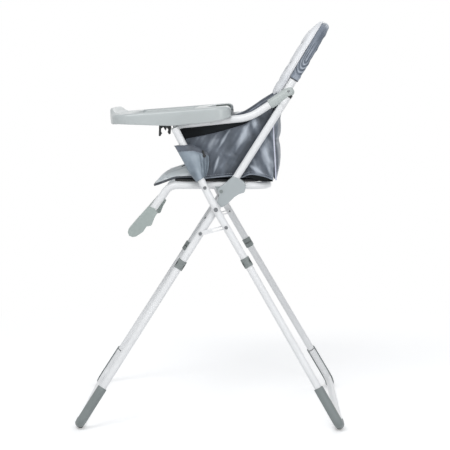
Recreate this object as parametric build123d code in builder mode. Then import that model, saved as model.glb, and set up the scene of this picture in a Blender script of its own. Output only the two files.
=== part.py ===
# Folding baby high chair with a slide-on tray, a hinged seat frame and a fabric seat.
# Millimetres. X runs to the rear, Y to the child's right, Z up from the floor.

import os
from math import atan2, cos, degrees, hypot, radians, sin, tan

from build123d import *

os.makedirs("parts", exist_ok=True)

LEFT = -1
RIGHT = 1
SIDES = {"left": LEFT, "right": RIGHT}

# Tube stock and general clearances
TUBE_RADIUS = 9.5
TUBE_WALL = 1.5
FIT = 0.05
SKIN_GAP = 0.3
CLOTH_FIT = 0.2
OVERCUT = 20

# Leg crossing, seen from the side (X, Z)
PIVOT_X = 15.6
PIVOT_Z = 558.8
FRONT_ANGLE = radians(57.5)
REAR_LOW_ANGLE = radians(59.9)
REAR_HIGH_ANGLE = radians(63.3)
REAR_BEND_RADIUS = 300

# Centre distance of each tube pair from the middle plane
REAR_Y = 221
FRONT_Y = 197
SEAT_Y = 173
FOOT_Y = 280

# Distances from the crossing along the legs
FRONT_COLLAR_AT = 171
REAR_COLLAR_AT = 156
COLLAR_LENGTH = 26
COLLAR_WALL = 2.2
TUBE_END_GAP = 2.5
PLUG_DEPTH = 12
PLUG_CAP = 2
FRONT_TOP_AT = 311
REAR_TOP_AT = 231
BAR_Z = 15.5
BAR_BEND = 34
LEG_JOINT_UP = 106
COVER_UP = 110
COVER_WALL = 2.9
COVER_ON_BAR = 16
FOOT_PAD_TOP = 4.5
FOOT_PAD_SIZE = 20

# Armrest and backrest line in the plane of the front frame (X, Z)
ARM_FRONT = (-92, 770.6)
ARM_BEND = (101, 790.5)
ARM_BEND_RADIUS = 110
BACK_ROOT = (189.1, 848)
BACK_ANGLE = radians(59.3)
BACK_LENGTH = 200
BACK_TOP_Y = 172
BACK_FOOT_Y = FRONT_Y - 4
BACK_FOOT_ROUND = 8
BACK_BEND = 70
BACK_JOINT_RADIUS = 13
BACK_JOINT_BEFORE = 42
BACK_JOINT_AFTER = 22
BACK_LOBE_RADIUS = 12.5
BACK_LOBE_LENGTH = 30

# Rivets and pins
PIN_RADIUS = 3.5
RIVET_RADIUS = 2.5
HEAD_HEIGHT = 2
HEAD_EXTRA = 2
WASHER_RADIUS = 8.5
WASHER_PLAY = 0.6
REAR_RIVET_AT = 62

# Stay link between the legs
STAY_FRONT_AT = 75
STAY_REAR_AT = 52.4
STAY_WIDTH = 11
STAY_CLEAR = 1.1
STAY_THICK = 2
STAY_INNER = FRONT_Y + TUBE_RADIUS + STAY_CLEAR
STAY_OUTER = STAY_INNER + STAY_THICK
STAY_PLAY = 0.1

# Seat frame (X, Z)
SEAT_Z = 616.3
SEAT_REAR_X = 147.5
SEAT_CORNER_X = -105
SEAT_DROP_ANGLE = radians(55)
SEAT_DROP = 106.5
SEAT_BEND = 40
SEAT_REAR_BEND = 45
SEAT_PIVOT_DROP = 12.8
SEAT_PIVOT = (28.9, SEAT_Z - SEAT_PIVOT_DROP)
SEAT_JOINT_X = 70
JOINER_HALF = 24
HINGE_HALF_LENGTH = 17
HINGE_LUG = 7
HINGE_INTO_RAIL = 2

# Bracket that carries the seat pivot, offsets from the crossing (X, Z)
BRACKET_HALF = 11.4
BRACKET_INNER = FRONT_Y - BRACKET_HALF
BRACKET_OUTER = FRONT_Y + BRACKET_HALF
BRACKET_SHAPE = [
    (2, 18), (8, 34), (4, 50), (20, 63), (43, 83), (60, 77), (72, 68),
    (76, 56), (72, 42), (58, 38), (46, 30), (30, 14), (14, 3),
]
BRACKET_ROUND = 4
SADDLE_X = (72, 88)
SADDLE_THICK = 4
SADDLE_OVERLAP = 4
PIN_HEAD_ROOM = 6

# Footrest side view (X, Z)
FOOTREST_SHAPE = [
    (-158, 563), (-162, 559), (-210, 505), (-212, 496), (-209, 487), (-200, 483.5),
    (-191, 485), (-173, 497), (-164, 511), (-152, 513), (-145, 531), (-136, 546), (-143, 558),
]
FOOTREST_ROUND = 3
FOOTREST_INWARD = 16
FOOTREST_OUTWARD = 11.6
FOOTREST_INNER = SEAT_Y - FOOTREST_INWARD
FOOTREST_OUTER = SEAT_Y + FOOTREST_OUTWARD
FOOTREST_OVERLAP = 1
FOOTREST_TRAVEL = 25
FOOTREST_TREAD = [(-162, 559), (-210, 505), (-203, 504), (-157, 558)]
FOOTREST_NOSE = [(-210, 506), (-211, 490), (-207, 489), (-204, 505)]

# Tray, in a frame whose top plane is the rim
TRAY_ANGLE = radians(4.46)
TRAY_Z = 816.6
TRAY_HALF_WIDTH = 237.4
TRAY_WALL = 3.4
TRAY_FRONT_X = -276
TRAY_FRONT_BOW = 26
TRAY_REAR_X = 52
TRAY_CORNER = 38
TRAY_REAR_ROUND = 10
TRAY_BAND = 100
TRAY_DECK = 12
TRAY_FLOOR = 3
TRAY_RIM = 30
TRAY_ARM_WIDTH = 87.4
TRAY_CUT_HALF = TRAY_HALF_WIDTH - TRAY_ARM_WIDTH
TRAY_CUT_X = -14
TRAY_CUT_ROUND = 55
TRAY_CUT_RIM = 26
RIM_ROUND = 3.5
APRON_DEPTH = 24
APRON_LENGTH = 62
SKIRT_SHAPE = [
    (-232, -8), (-232, -22), (-150, -33), (-99, -38.5), (-58, -37), (-23, -38), (25, -34), (48, -30),
    (52, -22), (52, -8),
]
LIP_HEIGHT = 14
LIP_DEPTH = 26
LIP_END_IN = 87.4
LIP_FOOT_INSET = 1
LIP_TOP_INSET = 7
RUNNER_X = [(-84, -52), (2, 32)]
RUNNER_LEG = 2.6
RUNNER_DROP = 6
RUNNER_BORE = (-40, 170)

# Tray catches (X, Z)
CATCH_HALF = 7
CATCH_INNER = FRONT_Y - CATCH_HALF
CATCH_OUTER = FRONT_Y + CATCH_HALF
CATCH_PIVOT = (-104, 779)
CATCH_SHAPE = [
    (-129, 771), (-130, 744), (-126, 743.5), (-124, 748), (-121.5, 750), (-124.5, 754), (-124.5, 762),
    (-118, 766.5), (-112.5, 757), (-110, 766), (-105.5, 760), (-107.5, 754), (-104, 748), (-100.5, 749),
    (-99, 766), (-97.5, 780), (-100.5, 785), (-107.5, 785), (-110.5, 780), (-111, 771),
]
CATCH_ROUND = 0.8
HOUSING_HALF = 9
HOUSING_DROP = 5
HOUSING_WALL = 2.5
CATCH_PIN_RADIUS = 1.75

# Soft goods
PANEL_CLEAR = 2.5
PANEL_THICK = 1.8
PANEL_OUTER = FRONT_Y - TUBE_RADIUS - PANEL_CLEAR
PANEL_INNER = PANEL_OUTER - PANEL_THICK
PANEL_SHAPE = [
    (-56, 732), (0, 749), (56, 764), (92, 772), (128, 792), (150, 806), (158, 806),
    (157, 760), (156, 700), (158, 650), (157, 634), (128, 642), (100, 648), (60, 650),
    (20, 650), (-20, 650), (-46, 662), (-64, 692),
]
PANEL_ROUND = 6
STRIP_AT = (130, 230)
STRIP_HALF = 6
LOWER_BACK_OUTER = [(183, 838), (181, 800), (176, 768), (175, 735), (177, 700), (172, 660), (168, 634)]
LOWER_BACK_INNER = [(161, 634), (158, 668), (140, 706), (133, 745), (139, 785), (160, 838)]
LOWER_BACK_GAP = 0.6
LOWER_BACK_HALF = PANEL_INNER - LOWER_BACK_GAP
LOWER_BACK_SECTIONS = [(0, 0.45), (8, 0.72), (24, 0.92), (64, 1)]
FLAP_SHAPE = [
    (-90, 717), (-78, 724), (-60, 724), (-40, 718), (-16, 707), (-4, 698), (-2, 686), (-4, 660),
    (-18, 642), (-36, 632), (-46, 640), (-58, 660), (-66, 676),
]
FLAP_THICK = 1.9
FLAP_OUTER = REAR_Y - TUBE_RADIUS - SKIN_GAP
FLAP_INNER = FLAP_OUTER - FLAP_THICK
SLEEVE_WALL = 1.8
SLEEVE_FROM = 88
SLEEVE_TO = 182
SLEEVE_RELIEF = 40
SEAT_BOARD_Z = (626.2, 632)
SEAT_BOARD_X = (-92, 126)
BOARD_PAST_RAIL = 3
SEAT_BOARD_HALF = SEAT_Y + BOARD_PAST_RAIL
SEAT_BOARD_ROUND = 25
SEAT_PAD_HALF = SEAT_BOARD_HALF
SEAT_PAD_SHAPE = [
    (-96, 632.4), (-126, 626), (-137, 616), (-145, 618), (-138, 636), (-126, 650), (-72, 670), (-20, 666),
    (60, 661), (122, 659), (128, 648), (124, 632.4),
]
SEAT_PAD_SECTIONS = [(0, 0.86), (6, 0.94), (18, 0.99), (60, 1)]
COVER_SKIN = 1.6
COVER_SIDE = 2
COVER_BOTTOM = 50
COVER_CORNER = BACK_BEND + 8
BOARD_THICK = 6
BOARD_EDGE = TUBE_RADIUS + 4
BOARD_UP = 10
BOARD_PLAY = 1
BOARD_CORNER = BACK_BEND - 10
BACK_PAD_THICK = 20
BACK_PAD_SECTIONS = [(SKIN_GAP, 12), (9, 8), (16, 15), (BACK_PAD_THICK, 30)]
BACK_PAD_BOTTOM = 2
BACK_PAD_RISE = 0.25

# Harness
STRAP_WIDTH = 25
STRAP_THICK = 1.6
SHOULDER_Y = 52
SHOULDER_MIDDLE = 106
SHOULDER_LENGTH = 130
WAIST_END = 150
CROTCH_LENGTH = 36
BUCKLE_X = -18
BUCKLE_SIZE = (44, 58, 14)
BUCKLE_ROUND = 8
BUCKLE_EDGE = 2
BUTTON_SIZE = (16, 26, 5)
BUTTON_WELL = 7
BUTTON_TRAVEL = 3
BUTTON_EDGE = 1


def on_front(distance, y):
    """Point on the front leg line, up from the crossing when positive."""
    return (PIVOT_X + distance * cos(FRONT_ANGLE), y, PIVOT_Z + distance * sin(FRONT_ANGLE))


def on_rear_low(distance, y):
    """Point on the rear leg line, down from the crossing."""
    return (PIVOT_X + distance * cos(REAR_LOW_ANGLE), y, PIVOT_Z - distance * sin(REAR_LOW_ANGLE))


def on_rear_high(distance, y):
    """Point on the rear frame's upper line, up from the crossing."""
    return (PIVOT_X - distance * cos(REAR_HIGH_ANGLE), y, PIVOT_Z + distance * sin(REAR_HIGH_ANGLE))


def on_back(distance, y):
    """Point on the backrest line, up from the back joint."""
    return (BACK_ROOT[0] + distance * cos(BACK_ANGLE), y, BACK_ROOT[1] + distance * sin(BACK_ANGLE))


def toward(start, end, distance):
    """Point a distance from start on the way to end."""
    way = Vector(*end) - Vector(*start)
    return tuple(Vector(*start) + way.normalized() * distance)


def rod(points, radius, bend=None, bore=0):
    """Round bar or tube along straight runs joined by bends."""
    with BuildPart() as body:
        with BuildLine() as path:
            if bend is None:
                Polyline(*points)
            else:
                FilletPolyline(*points, radius=bend)
        with BuildSketch(Plane(origin=path.wire() @ 0, z_dir=path.wire() % 0)):
            Circle(radius)
            if bore:
                Circle(bore, mode=Mode.SUBTRACT)
        sweep(path=path.wire())
    return body.part


def tube(points, bend=None):
    """Hollow frame tube."""
    return rod(points, TUBE_RADIUS, bend, TUBE_RADIUS - TUBE_WALL)


def slab(shape, inner, outer, side, round_by=0):
    """Side-view outline given a thickness from inner to outer on one side of the chair."""
    start = inner if side == LEFT else -outer
    with BuildPart() as body:
        with BuildSketch(Plane.XZ.offset(start)) as face:
            with BuildLine():
                Polyline(*shape, close=True)
            make_face()
            if round_by:
                fillet(face.vertices(), round_by)
        extrude(amount=outer - inner)
    return body.part


def middle_slab(shape, half, round_by=0):
    """Side-view outline running right across the chair."""
    return slab(shape, -half, half, LEFT, round_by)


def cross_rod(at, inner, outer, side, radius):
    """Round bar across the chair at a side-view point."""
    return rod([(at[0], side * inner, at[1]), (at[0], side * outer, at[1])], radius)


def rivet(at, inner, outer, side, radius):
    """Shank from inner to outer with a low head beyond each end."""
    with BuildPart() as body:
        add(cross_rod(at, inner, outer, side, radius))
        add(cross_rod(at, inner - HEAD_HEIGHT, inner, side, radius + HEAD_EXTRA))
        add(cross_rod(at, outer, outer + HEAD_HEIGHT, side, radius + HEAD_EXTRA))
    return body.part


def block(x_span, y_span, z_span):
    """Upright box between the given limits."""
    with BuildPart() as body:
        with BuildSketch(Plane.XY.offset(z_span[0])):
            with BuildLine():
                Polyline(
                    (x_span[0], y_span[0]), (x_span[1], y_span[0]), (x_span[1], y_span[1]),
                    (x_span[0], y_span[1]), close=True,
                )
            make_face()
        extrude(amount=z_span[1] - z_span[0])
    return body.part


def save(body, label):
    body.part.label = label
    export_step(body.part, f"parts/{label}.step")


def side_view(point):
    """Side-view pair of a point in space."""
    return (point[0], point[2])


PIVOT = (PIVOT_X, PIVOT_Z)
PLUG_RADIUS = TUBE_RADIUS - TUBE_WALL - FIT
STAY_FRONT = side_view(on_front(-STAY_FRONT_AT, 0))
STAY_REAR = side_view(on_rear_low(STAY_REAR_AT, 0))
REAR_RIVET = side_view(on_rear_high(REAR_RIVET_AT, 0))
FRONT_BAR_AT = (PIVOT_Z - BAR_Z) / sin(FRONT_ANGLE)
REAR_BAR_AT = (PIVOT_Z - BAR_Z) / sin(REAR_LOW_ANGLE)

# Corner points of the two floor frames, from the left collar round to the right one
FRONT_FLOOR = [
    on_front(-FRONT_COLLAR_AT, -FRONT_Y), on_front(-FRONT_BAR_AT, -FOOT_Y),
    on_front(-FRONT_BAR_AT, FOOT_Y), on_front(-FRONT_COLLAR_AT, FRONT_Y),
]
REAR_FLOOR = [
    on_rear_low(REAR_COLLAR_AT, -REAR_Y), on_rear_low(REAR_BAR_AT, -FOOT_Y),
    on_rear_low(REAR_BAR_AT, FOOT_Y), on_rear_low(REAR_COLLAR_AT, REAR_Y),
]


def floor_run(corners, side):
    """Collar end, foot corner and far foot corner of one side of a floor frame."""
    if side == LEFT:
        return corners[0], corners[1], corners[2]
    return corners[3], corners[2], corners[1]


def leg_tube(corners, side):
    """Straight leg from its collar to the joint above the floor bar's bend."""
    top, foot, _ = floor_run(corners, side)
    return tube([toward(top, foot, TUBE_END_GAP), toward(foot, top, LEG_JOINT_UP)])


def floor_bar(corners):
    """Bar across the floor with a bend up into each leg."""
    left_top, left_foot, right_foot = floor_run(corners, LEFT)
    right_top = corners[3]
    reach = LEG_JOINT_UP - TUBE_END_GAP
    return tube(
        [toward(left_foot, left_top, reach), left_foot, right_foot, toward(right_foot, right_top, reach)],
        BAR_BEND,
    )


def foot_cover(corners, side):
    """Plastic sleeve round a floor bend, cut flat for its pad."""
    top, foot, far_foot = floor_run(corners, side)
    run = [toward(foot, top, COVER_UP), foot, toward(foot, far_foot, BAR_BEND + COVER_ON_BAR)]
    longer = [
        toward(foot, top, COVER_UP + OVERCUT), foot,
        toward(foot, far_foot, BAR_BEND + COVER_ON_BAR + OVERCUT),
    ]
    with BuildPart() as body:
        add(rod(run, TUBE_RADIUS + COVER_WALL, BAR_BEND))
        add(rod(longer, TUBE_RADIUS + FIT, BAR_BEND), mode=Mode.SUBTRACT)
        reach = (-2 * FOOT_Y, 2 * FOOT_Y)
        add(block(reach, reach, (-OVERCUT, FOOT_PAD_TOP)), mode=Mode.SUBTRACT)
    return body.part


def foot_pad(corners, side):
    """Rubber pad under the flat of a foot cover."""
    _, foot, far_foot = floor_run(corners, side)
    at = toward(foot, far_foot, BAR_BEND)
    half = FOOT_PAD_SIZE / 2
    return block((at[0] - half / 2, at[0] + half / 2), (at[1] - half, at[1] + half), (0, FOOT_PAD_TOP))


def collar(corner, upper_end, lower_end):
    """Sleeve over the joint of an upper tube and a leg."""
    outside = TUBE_RADIUS + COLLAR_WALL
    up = toward(corner, upper_end, COLLAR_LENGTH / 2)
    down = toward(corner, lower_end, COLLAR_LENGTH / 2)
    past_up = toward(corner, upper_end, COLLAR_LENGTH)
    past_down = toward(corner, lower_end, COLLAR_LENGTH)
    with BuildPart() as body:
        add(rod([up, corner], outside))
        add(rod([corner, down], outside))
        add(rod([past_up, corner], TUBE_RADIUS + FIT), mode=Mode.SUBTRACT)
        add(rod([corner, past_down], TUBE_RADIUS + FIT), mode=Mode.SUBTRACT)
    return body.part


# Front frame: uprights, legs, floor bar
for word, side in SIDES.items():
    upright_y = side * FRONT_Y
    with BuildPart() as front_upright:
        add(tube([on_front(TUBE_END_GAP - FRONT_COLLAR_AT, upright_y), on_front(FRONT_TOP_AT, upright_y)]))
        for hole, radius in ((PIVOT, PIN_RADIUS), (STAY_FRONT, RIVET_RADIUS)):
            add(cross_rod(hole, FRONT_Y - OVERCUT, FRONT_Y + OVERCUT, side, radius + FIT),
                mode=Mode.SUBTRACT)
    save(front_upright, f"front_upright_{word}")

    with BuildPart() as front_leg:
        add(leg_tube(FRONT_FLOOR, side))
    save(front_leg, f"front_leg_{word}")

    with BuildPart() as rear_leg:
        add(leg_tube(REAR_FLOOR, side))
    save(rear_leg, f"rear_leg_{word}")

with BuildPart() as front_floor_bar:
    add(floor_bar(FRONT_FLOOR))
save(front_floor_bar, "front_floor_bar")

with BuildPart() as rear_floor_bar:
    add(floor_bar(REAR_FLOOR))
save(rear_floor_bar, "rear_floor_bar")

for word, corners in (("front", FRONT_FLOOR), ("rear", REAR_FLOOR)):
    with BuildPart() as foot_covers:
        for side in SIDES.values():
            add(foot_cover(corners, side))
    save(foot_covers, f"{word}_foot_covers")

    with BuildPart() as foot_pads:
        for side in SIDES.values():
            add(foot_pad(corners, side))
    save(foot_pads, f"{word}_foot_pads")

with BuildPart() as front_collars:
    for side in SIDES.values():
        top, foot, _ = floor_run(FRONT_FLOOR, side)
        add(collar(top, on_front(0, side * FRONT_Y), foot))
save(front_collars, "front_collars")

with BuildPart() as rear_collars:
    for side in SIDES.values():
        top, foot, _ = floor_run(REAR_FLOOR, side)
        add(collar(top, on_rear_low(0, side * REAR_Y), foot))
save(rear_collars, "rear_collars")

# Rear frame uprights with a slight bend at the crossing
for word, side in SIDES.items():
    upright_y = side * REAR_Y
    with BuildPart() as rear_upright:
        add(tube(
            [
                on_rear_low(REAR_COLLAR_AT - TUBE_END_GAP, upright_y), (PIVOT_X, upright_y, PIVOT_Z),
                on_rear_high(REAR_TOP_AT, upright_y),
            ],
            REAR_BEND_RADIUS,
        ))
        for hole, radius in ((PIVOT, PIN_RADIUS), (STAY_REAR, RIVET_RADIUS), (REAR_RIVET, RIVET_RADIUS)):
            add(cross_rod(hole, REAR_Y - OVERCUT, REAR_Y + OVERCUT, side, radius + FIT), mode=Mode.SUBTRACT)
    save(rear_upright, f"rear_upright_{word}")

with BuildPart() as rear_plugs:
    for side in SIDES.values():
        plug_y = side * REAR_Y
        tube_end = on_rear_high(REAR_TOP_AT, plug_y)
        add(rod([on_rear_high(REAR_TOP_AT - PLUG_DEPTH, plug_y), tube_end], PLUG_RADIUS))
        add(rod([tube_end, on_rear_high(REAR_TOP_AT + PLUG_CAP, plug_y)], TUBE_RADIUS))
save(rear_plugs, "rear_plugs")

# Crossing pins, washers and stay rivets
with BuildPart() as crossing_pins:
    for side in SIDES.values():
        add(rivet(PIVOT, FRONT_Y - TUBE_RADIUS, REAR_Y + TUBE_RADIUS, side, PIN_RADIUS))
save(crossing_pins, "crossing_pins")

with BuildPart() as crossing_washers:
    for side in SIDES.values():
        washer_inner = FRONT_Y + TUBE_RADIUS + WASHER_PLAY
        washer_outer = REAR_Y - TUBE_RADIUS - WASHER_PLAY
        add(cross_rod(PIVOT, washer_inner, washer_outer, side, WASHER_RADIUS))
        add(cross_rod(PIVOT, FRONT_Y, REAR_Y, side, PIN_RADIUS + FIT), mode=Mode.SUBTRACT)
save(crossing_washers, "crossing_washers")

with BuildPart() as stay_rivets:
    for side in SIDES.values():
        add(rivet(STAY_FRONT, FRONT_Y - TUBE_RADIUS, STAY_OUTER + STAY_PLAY, side, RIVET_RADIUS))
save(stay_rivets, "stay_rivets")

with BuildPart() as rear_rivets:
    for side in SIDES.values():
        outside = REAR_Y + TUBE_RADIUS
        for at in (STAY_REAR, REAR_RIVET):
            add(cross_rod(at, REAR_Y - TUBE_RADIUS, outside, side, RIVET_RADIUS))
            add(cross_rod(at, outside, outside + HEAD_HEIGHT, side, RIVET_RADIUS + HEAD_EXTRA))
save(rear_rivets, "rear_rivets")

# Stay links, pinned to the front frame
STAY_RUN = (STAY_REAR[0] - STAY_FRONT[0], STAY_REAR[1] - STAY_FRONT[1])
STAY_TURN = degrees(atan2(STAY_RUN[1], STAY_RUN[0]))
STAY_LENGTH = hypot(*STAY_RUN)


def along_stay(part_way):
    """Side-view point part of the way along the stay."""
    return (STAY_FRONT[0] + STAY_RUN[0] * part_way, STAY_FRONT[1] + STAY_RUN[1] * part_way)


for word, side in SIDES.items():
    start = STAY_INNER if side == LEFT else -STAY_OUTER
    with BuildPart() as stay_link:
        with BuildSketch(Plane.XZ.offset(start)):
            with Locations(along_stay(0.5)):
                SlotCenterToCenter(STAY_LENGTH, STAY_WIDTH, rotation=STAY_TURN)
            with Locations(STAY_FRONT):
                Circle(RIVET_RADIUS + FIT, mode=Mode.SUBTRACT)
            with Locations(along_stay(0.75)):
                SlotCenterToCenter(STAY_LENGTH / 2, RIVET_RADIUS * 2, rotation=STAY_TURN, mode=Mode.SUBTRACT)
        extrude(amount=STAY_OUTER - STAY_INNER)
    save(stay_link, f"stay_link_{word}")

# Seat brackets on the front uprights, each with a saddle under the seat rail
for word, side in SIDES.items():
    shape = [(PIVOT_X + x, PIVOT_Z + z) for x, z in BRACKET_SHAPE]
    saddle_top = SEAT_Z - TUBE_RADIUS - SKIN_GAP
    with BuildPart() as bracket:
        add(slab(shape, BRACKET_INNER, BRACKET_OUTER, side, BRACKET_ROUND))
        add(slab(
            [
                (SADDLE_X[0], saddle_top), (SADDLE_X[1], saddle_top),
                (SADDLE_X[1], saddle_top - SADDLE_THICK), (SADDLE_X[0], saddle_top - SADDLE_THICK),
            ],
            SEAT_Y - SADDLE_OVERLAP, BRACKET_INNER + SADDLE_OVERLAP, side,
        ))
        below = on_front(-OVERCUT, side * FRONT_Y)
        above = on_front(FRONT_TOP_AT, side * FRONT_Y)
        across = (BRACKET_INNER - OVERCUT / 2, BRACKET_OUTER + OVERCUT / 2)
        add(rod([below, above], TUBE_RADIUS + FIT), mode=Mode.SUBTRACT)
        add(cross_rod(SEAT_PIVOT, *across, side, RIVET_RADIUS + FIT), mode=Mode.SUBTRACT)
        add(cross_rod(PIVOT, *across, side, PIN_RADIUS + PIN_HEAD_ROOM), mode=Mode.SUBTRACT)
    save(bracket, f"seat_bracket_{word}")

with BuildPart() as seat_pivot_pins:
    for side in SIDES.values():
        add(cross_rod(SEAT_PIVOT, SEAT_Y - HINGE_LUG, BRACKET_OUTER, side, RIVET_RADIUS))
        head_end = BRACKET_OUTER + HEAD_HEIGHT
        add(cross_rod(SEAT_PIVOT, BRACKET_OUTER, head_end, side, RIVET_RADIUS + HEAD_EXTRA))
save(seat_pivot_pins, "seat_pivot_pins")

# Armrests, back joints and backrest hoop
ARM_WAY = Vector(ARM_BEND[0] - ARM_FRONT[0], 0, ARM_BEND[1] - ARM_FRONT[1]).normalized()


def arm_points(side, short_of_root):
    """Armrest line from its front end to a distance short of the back joint."""
    y = side * FRONT_Y
    bend = (ARM_BEND[0], y, ARM_BEND[1])
    root = (BACK_ROOT[0], y, BACK_ROOT[1])
    return [(ARM_FRONT[0], y, ARM_FRONT[1]), bend, toward(root, bend, short_of_root)]


def hoop_points(from_root):
    """Backrest hoop from the left joint over the top to the right joint."""
    left_foot = on_back(0, -FRONT_Y)
    left_top = on_back(BACK_LENGTH, -BACK_TOP_Y)
    right_top = on_back(BACK_LENGTH, BACK_TOP_Y)
    right_foot = on_back(0, FRONT_Y)
    return [toward(left_foot, left_top, from_root), left_top, right_top,
            toward(right_foot, right_top, from_root)]


for word, side in SIDES.items():
    with BuildPart() as armrest:
        add(tube(arm_points(side, TUBE_RADIUS), ARM_BEND_RADIUS))
    save(armrest, f"armrest_{word}")

    root = (BACK_ROOT[0], side * FRONT_Y, BACK_ROOT[1])
    arm_bend = (ARM_BEND[0], side * FRONT_Y, ARM_BEND[1])
    hoop_top = on_back(BACK_LENGTH, side * BACK_TOP_Y)
    lobe_end = on_front(FRONT_TOP_AT - BACK_LOBE_LENGTH / 2, side * FRONT_Y)
    with BuildPart() as back_joint:
        add(rod([toward(root, arm_bend, BACK_JOINT_BEFORE), root], BACK_JOINT_RADIUS))
        add(rod([root, toward(root, hoop_top, BACK_JOINT_AFTER)], BACK_JOINT_RADIUS))
        with Locations(root):
            Sphere(BACK_JOINT_RADIUS)
        add(rod([lobe_end, on_front(FRONT_TOP_AT + BACK_LOBE_LENGTH / 2, side * FRONT_Y)], BACK_LOBE_RADIUS))
        add(rod([toward(root, arm_bend, BACK_JOINT_BEFORE * 2), toward(root, arm_bend, TUBE_RADIUS)],
                TUBE_RADIUS + FIT), mode=Mode.SUBTRACT)
        add(rod([toward(root, hoop_top, TUBE_RADIUS), toward(root, hoop_top, BACK_JOINT_AFTER * 2)],
                TUBE_RADIUS + FIT), mode=Mode.SUBTRACT)
        add(rod([on_front(0, side * FRONT_Y), on_front(FRONT_TOP_AT, side * FRONT_Y)], TUBE_RADIUS + FIT),
            mode=Mode.SUBTRACT)
    save(back_joint, f"back_joint_{word}")

with BuildPart() as arm_plugs:
    for side in SIDES.values():
        front_end = Vector(ARM_FRONT[0], side * FRONT_Y, ARM_FRONT[1])
        add(rod([front_end, front_end + ARM_WAY * PLUG_DEPTH], PLUG_RADIUS))
        add(rod([front_end - ARM_WAY * PLUG_CAP, front_end], TUBE_RADIUS))
save(arm_plugs, "arm_plugs")

with BuildPart() as back_hoop:
    add(tube(hoop_points(TUBE_RADIUS), BACK_BEND))
save(back_hoop, "back_hoop")

# Backrest cover, its stiffening board and the front pad
BACK_PLANE = Plane(origin=on_back(0, 0), x_dir=(0, 1, 0), z_dir=(sin(BACK_ANGLE), 0, -cos(BACK_ANGLE)))


def back_outline(plane, grow, bottom, corner):
    """Backrest outline on a plane, grown past the hoop line, with its lower edge at a given height."""
    with BuildSketch(plane) as face:
        with BuildLine():
            Polyline(
                (-BACK_FOOT_Y - grow, bottom), (-BACK_TOP_Y - grow, BACK_LENGTH + grow),
                (BACK_TOP_Y + grow, BACK_LENGTH + grow), (BACK_FOOT_Y + grow, bottom), close=True,
            )
        make_face()
        fillet(face.vertices().sort_by(Axis.Y)[-2:], corner)
        fillet(face.vertices().sort_by(Axis.Y)[:2], BACK_FOOT_ROUND)
    return face.sketch


COVER_HALF = TUBE_RADIUS + COVER_SKIN
COVER_GROW = TUBE_RADIUS + COVER_SIDE
BOARD_BOTTOM = COVER_BOTTOM + BOARD_UP
with BuildPart() as back_cover:
    add(back_outline(BACK_PLANE.offset(-COVER_HALF), COVER_GROW, COVER_BOTTOM, COVER_CORNER))
    extrude(amount=2 * COVER_HALF, dir=BACK_PLANE.z_dir)
    add(rod(hoop_points(TUBE_RADIUS), TUBE_RADIUS + CLOTH_FIT, BACK_BEND), mode=Mode.SUBTRACT)
    add(back_outline(BACK_PLANE.offset(-BOARD_THICK / 2), -BOARD_EDGE, BOARD_BOTTOM, BOARD_CORNER))
    extrude(amount=BOARD_THICK, dir=BACK_PLANE.z_dir, mode=Mode.SUBTRACT)
save(back_cover, "back_cover")

with BuildPart() as back_board:
    board_back = BACK_PLANE.offset(FIT - BOARD_THICK / 2)
    add(back_outline(board_back, -BOARD_EDGE - BOARD_PLAY, BOARD_BOTTOM + BOARD_PLAY, BOARD_CORNER))
    extrude(amount=BOARD_THICK - 2 * FIT, dir=BACK_PLANE.z_dir)
save(back_board, "back_board")

with BuildPart() as back_pad:
    for depth, draw in BACK_PAD_SECTIONS:
        bottom = BACK_PAD_BOTTOM + draw * BACK_PAD_RISE
        add(back_outline(BACK_PLANE.offset(-COVER_HALF - depth), -draw, bottom, BACK_BEND))
    loft()
save(back_pad, "back_pad")

# Seat frame, hinged on the brackets
SEAT_DROP_WAY = Vector(-cos(SEAT_DROP_ANGLE), 0, -sin(SEAT_DROP_ANGLE))
for word, side in SIDES.items():
    corner = Vector(SEAT_CORNER_X, side * SEAT_Y, SEAT_Z)
    with BuildPart() as seat_rail:
        rear_end = (SEAT_JOINT_X - TUBE_END_GAP, side * SEAT_Y, SEAT_Z)
        add(tube([rear_end, corner, corner + SEAT_DROP_WAY * SEAT_DROP], SEAT_BEND))
    save(seat_rail, f"seat_rail_{word}")

with BuildPart() as seat_rear_bar:
    add(tube(
        [
            (SEAT_JOINT_X + TUBE_END_GAP, -SEAT_Y, SEAT_Z), (SEAT_REAR_X, -SEAT_Y, SEAT_Z),
            (SEAT_REAR_X, SEAT_Y, SEAT_Z), (SEAT_JOINT_X + TUBE_END_GAP, SEAT_Y, SEAT_Z),
        ],
        SEAT_REAR_BEND,
    ))
save(seat_rear_bar, "seat_rear_bar")

with BuildPart() as seat_joiners:
    for side in SIDES.values():
        rail_y = side * SEAT_Y
        add(rod([(SEAT_JOINT_X - JOINER_HALF, rail_y, SEAT_Z), (SEAT_JOINT_X + JOINER_HALF, rail_y, SEAT_Z)],
                PLUG_RADIUS))
save(seat_joiners, "seat_joiners")

with BuildPart() as seat_hinges:
    for side in SIDES.values():
        rail_y = side * SEAT_Y
        lug_top = SEAT_Z - HINGE_INTO_RAIL
        lug_bottom = SEAT_PIVOT[1] - HINGE_LUG
        lug = [
            (SEAT_PIVOT[0] - HINGE_HALF_LENGTH, lug_top), (SEAT_PIVOT[0] - HINGE_LUG, lug_bottom),
            (SEAT_PIVOT[0] + HINGE_LUG, lug_bottom), (SEAT_PIVOT[0] + HINGE_HALF_LENGTH, lug_top),
        ]
        bore_half = HINGE_HALF_LENGTH + OVERCUT
        add(slab(lug, SEAT_Y - HINGE_LUG, SEAT_Y + TUBE_RADIUS, side))
        add(rod([(SEAT_PIVOT[0] - bore_half, rail_y, SEAT_Z), (SEAT_PIVOT[0] + bore_half, rail_y, SEAT_Z)],
                TUBE_RADIUS + FIT), mode=Mode.SUBTRACT)
        add(cross_rod(SEAT_PIVOT, SEAT_Y - OVERCUT, SEAT_Y + OVERCUT, side, RIVET_RADIUS + FIT),
            mode=Mode.SUBTRACT)
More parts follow.
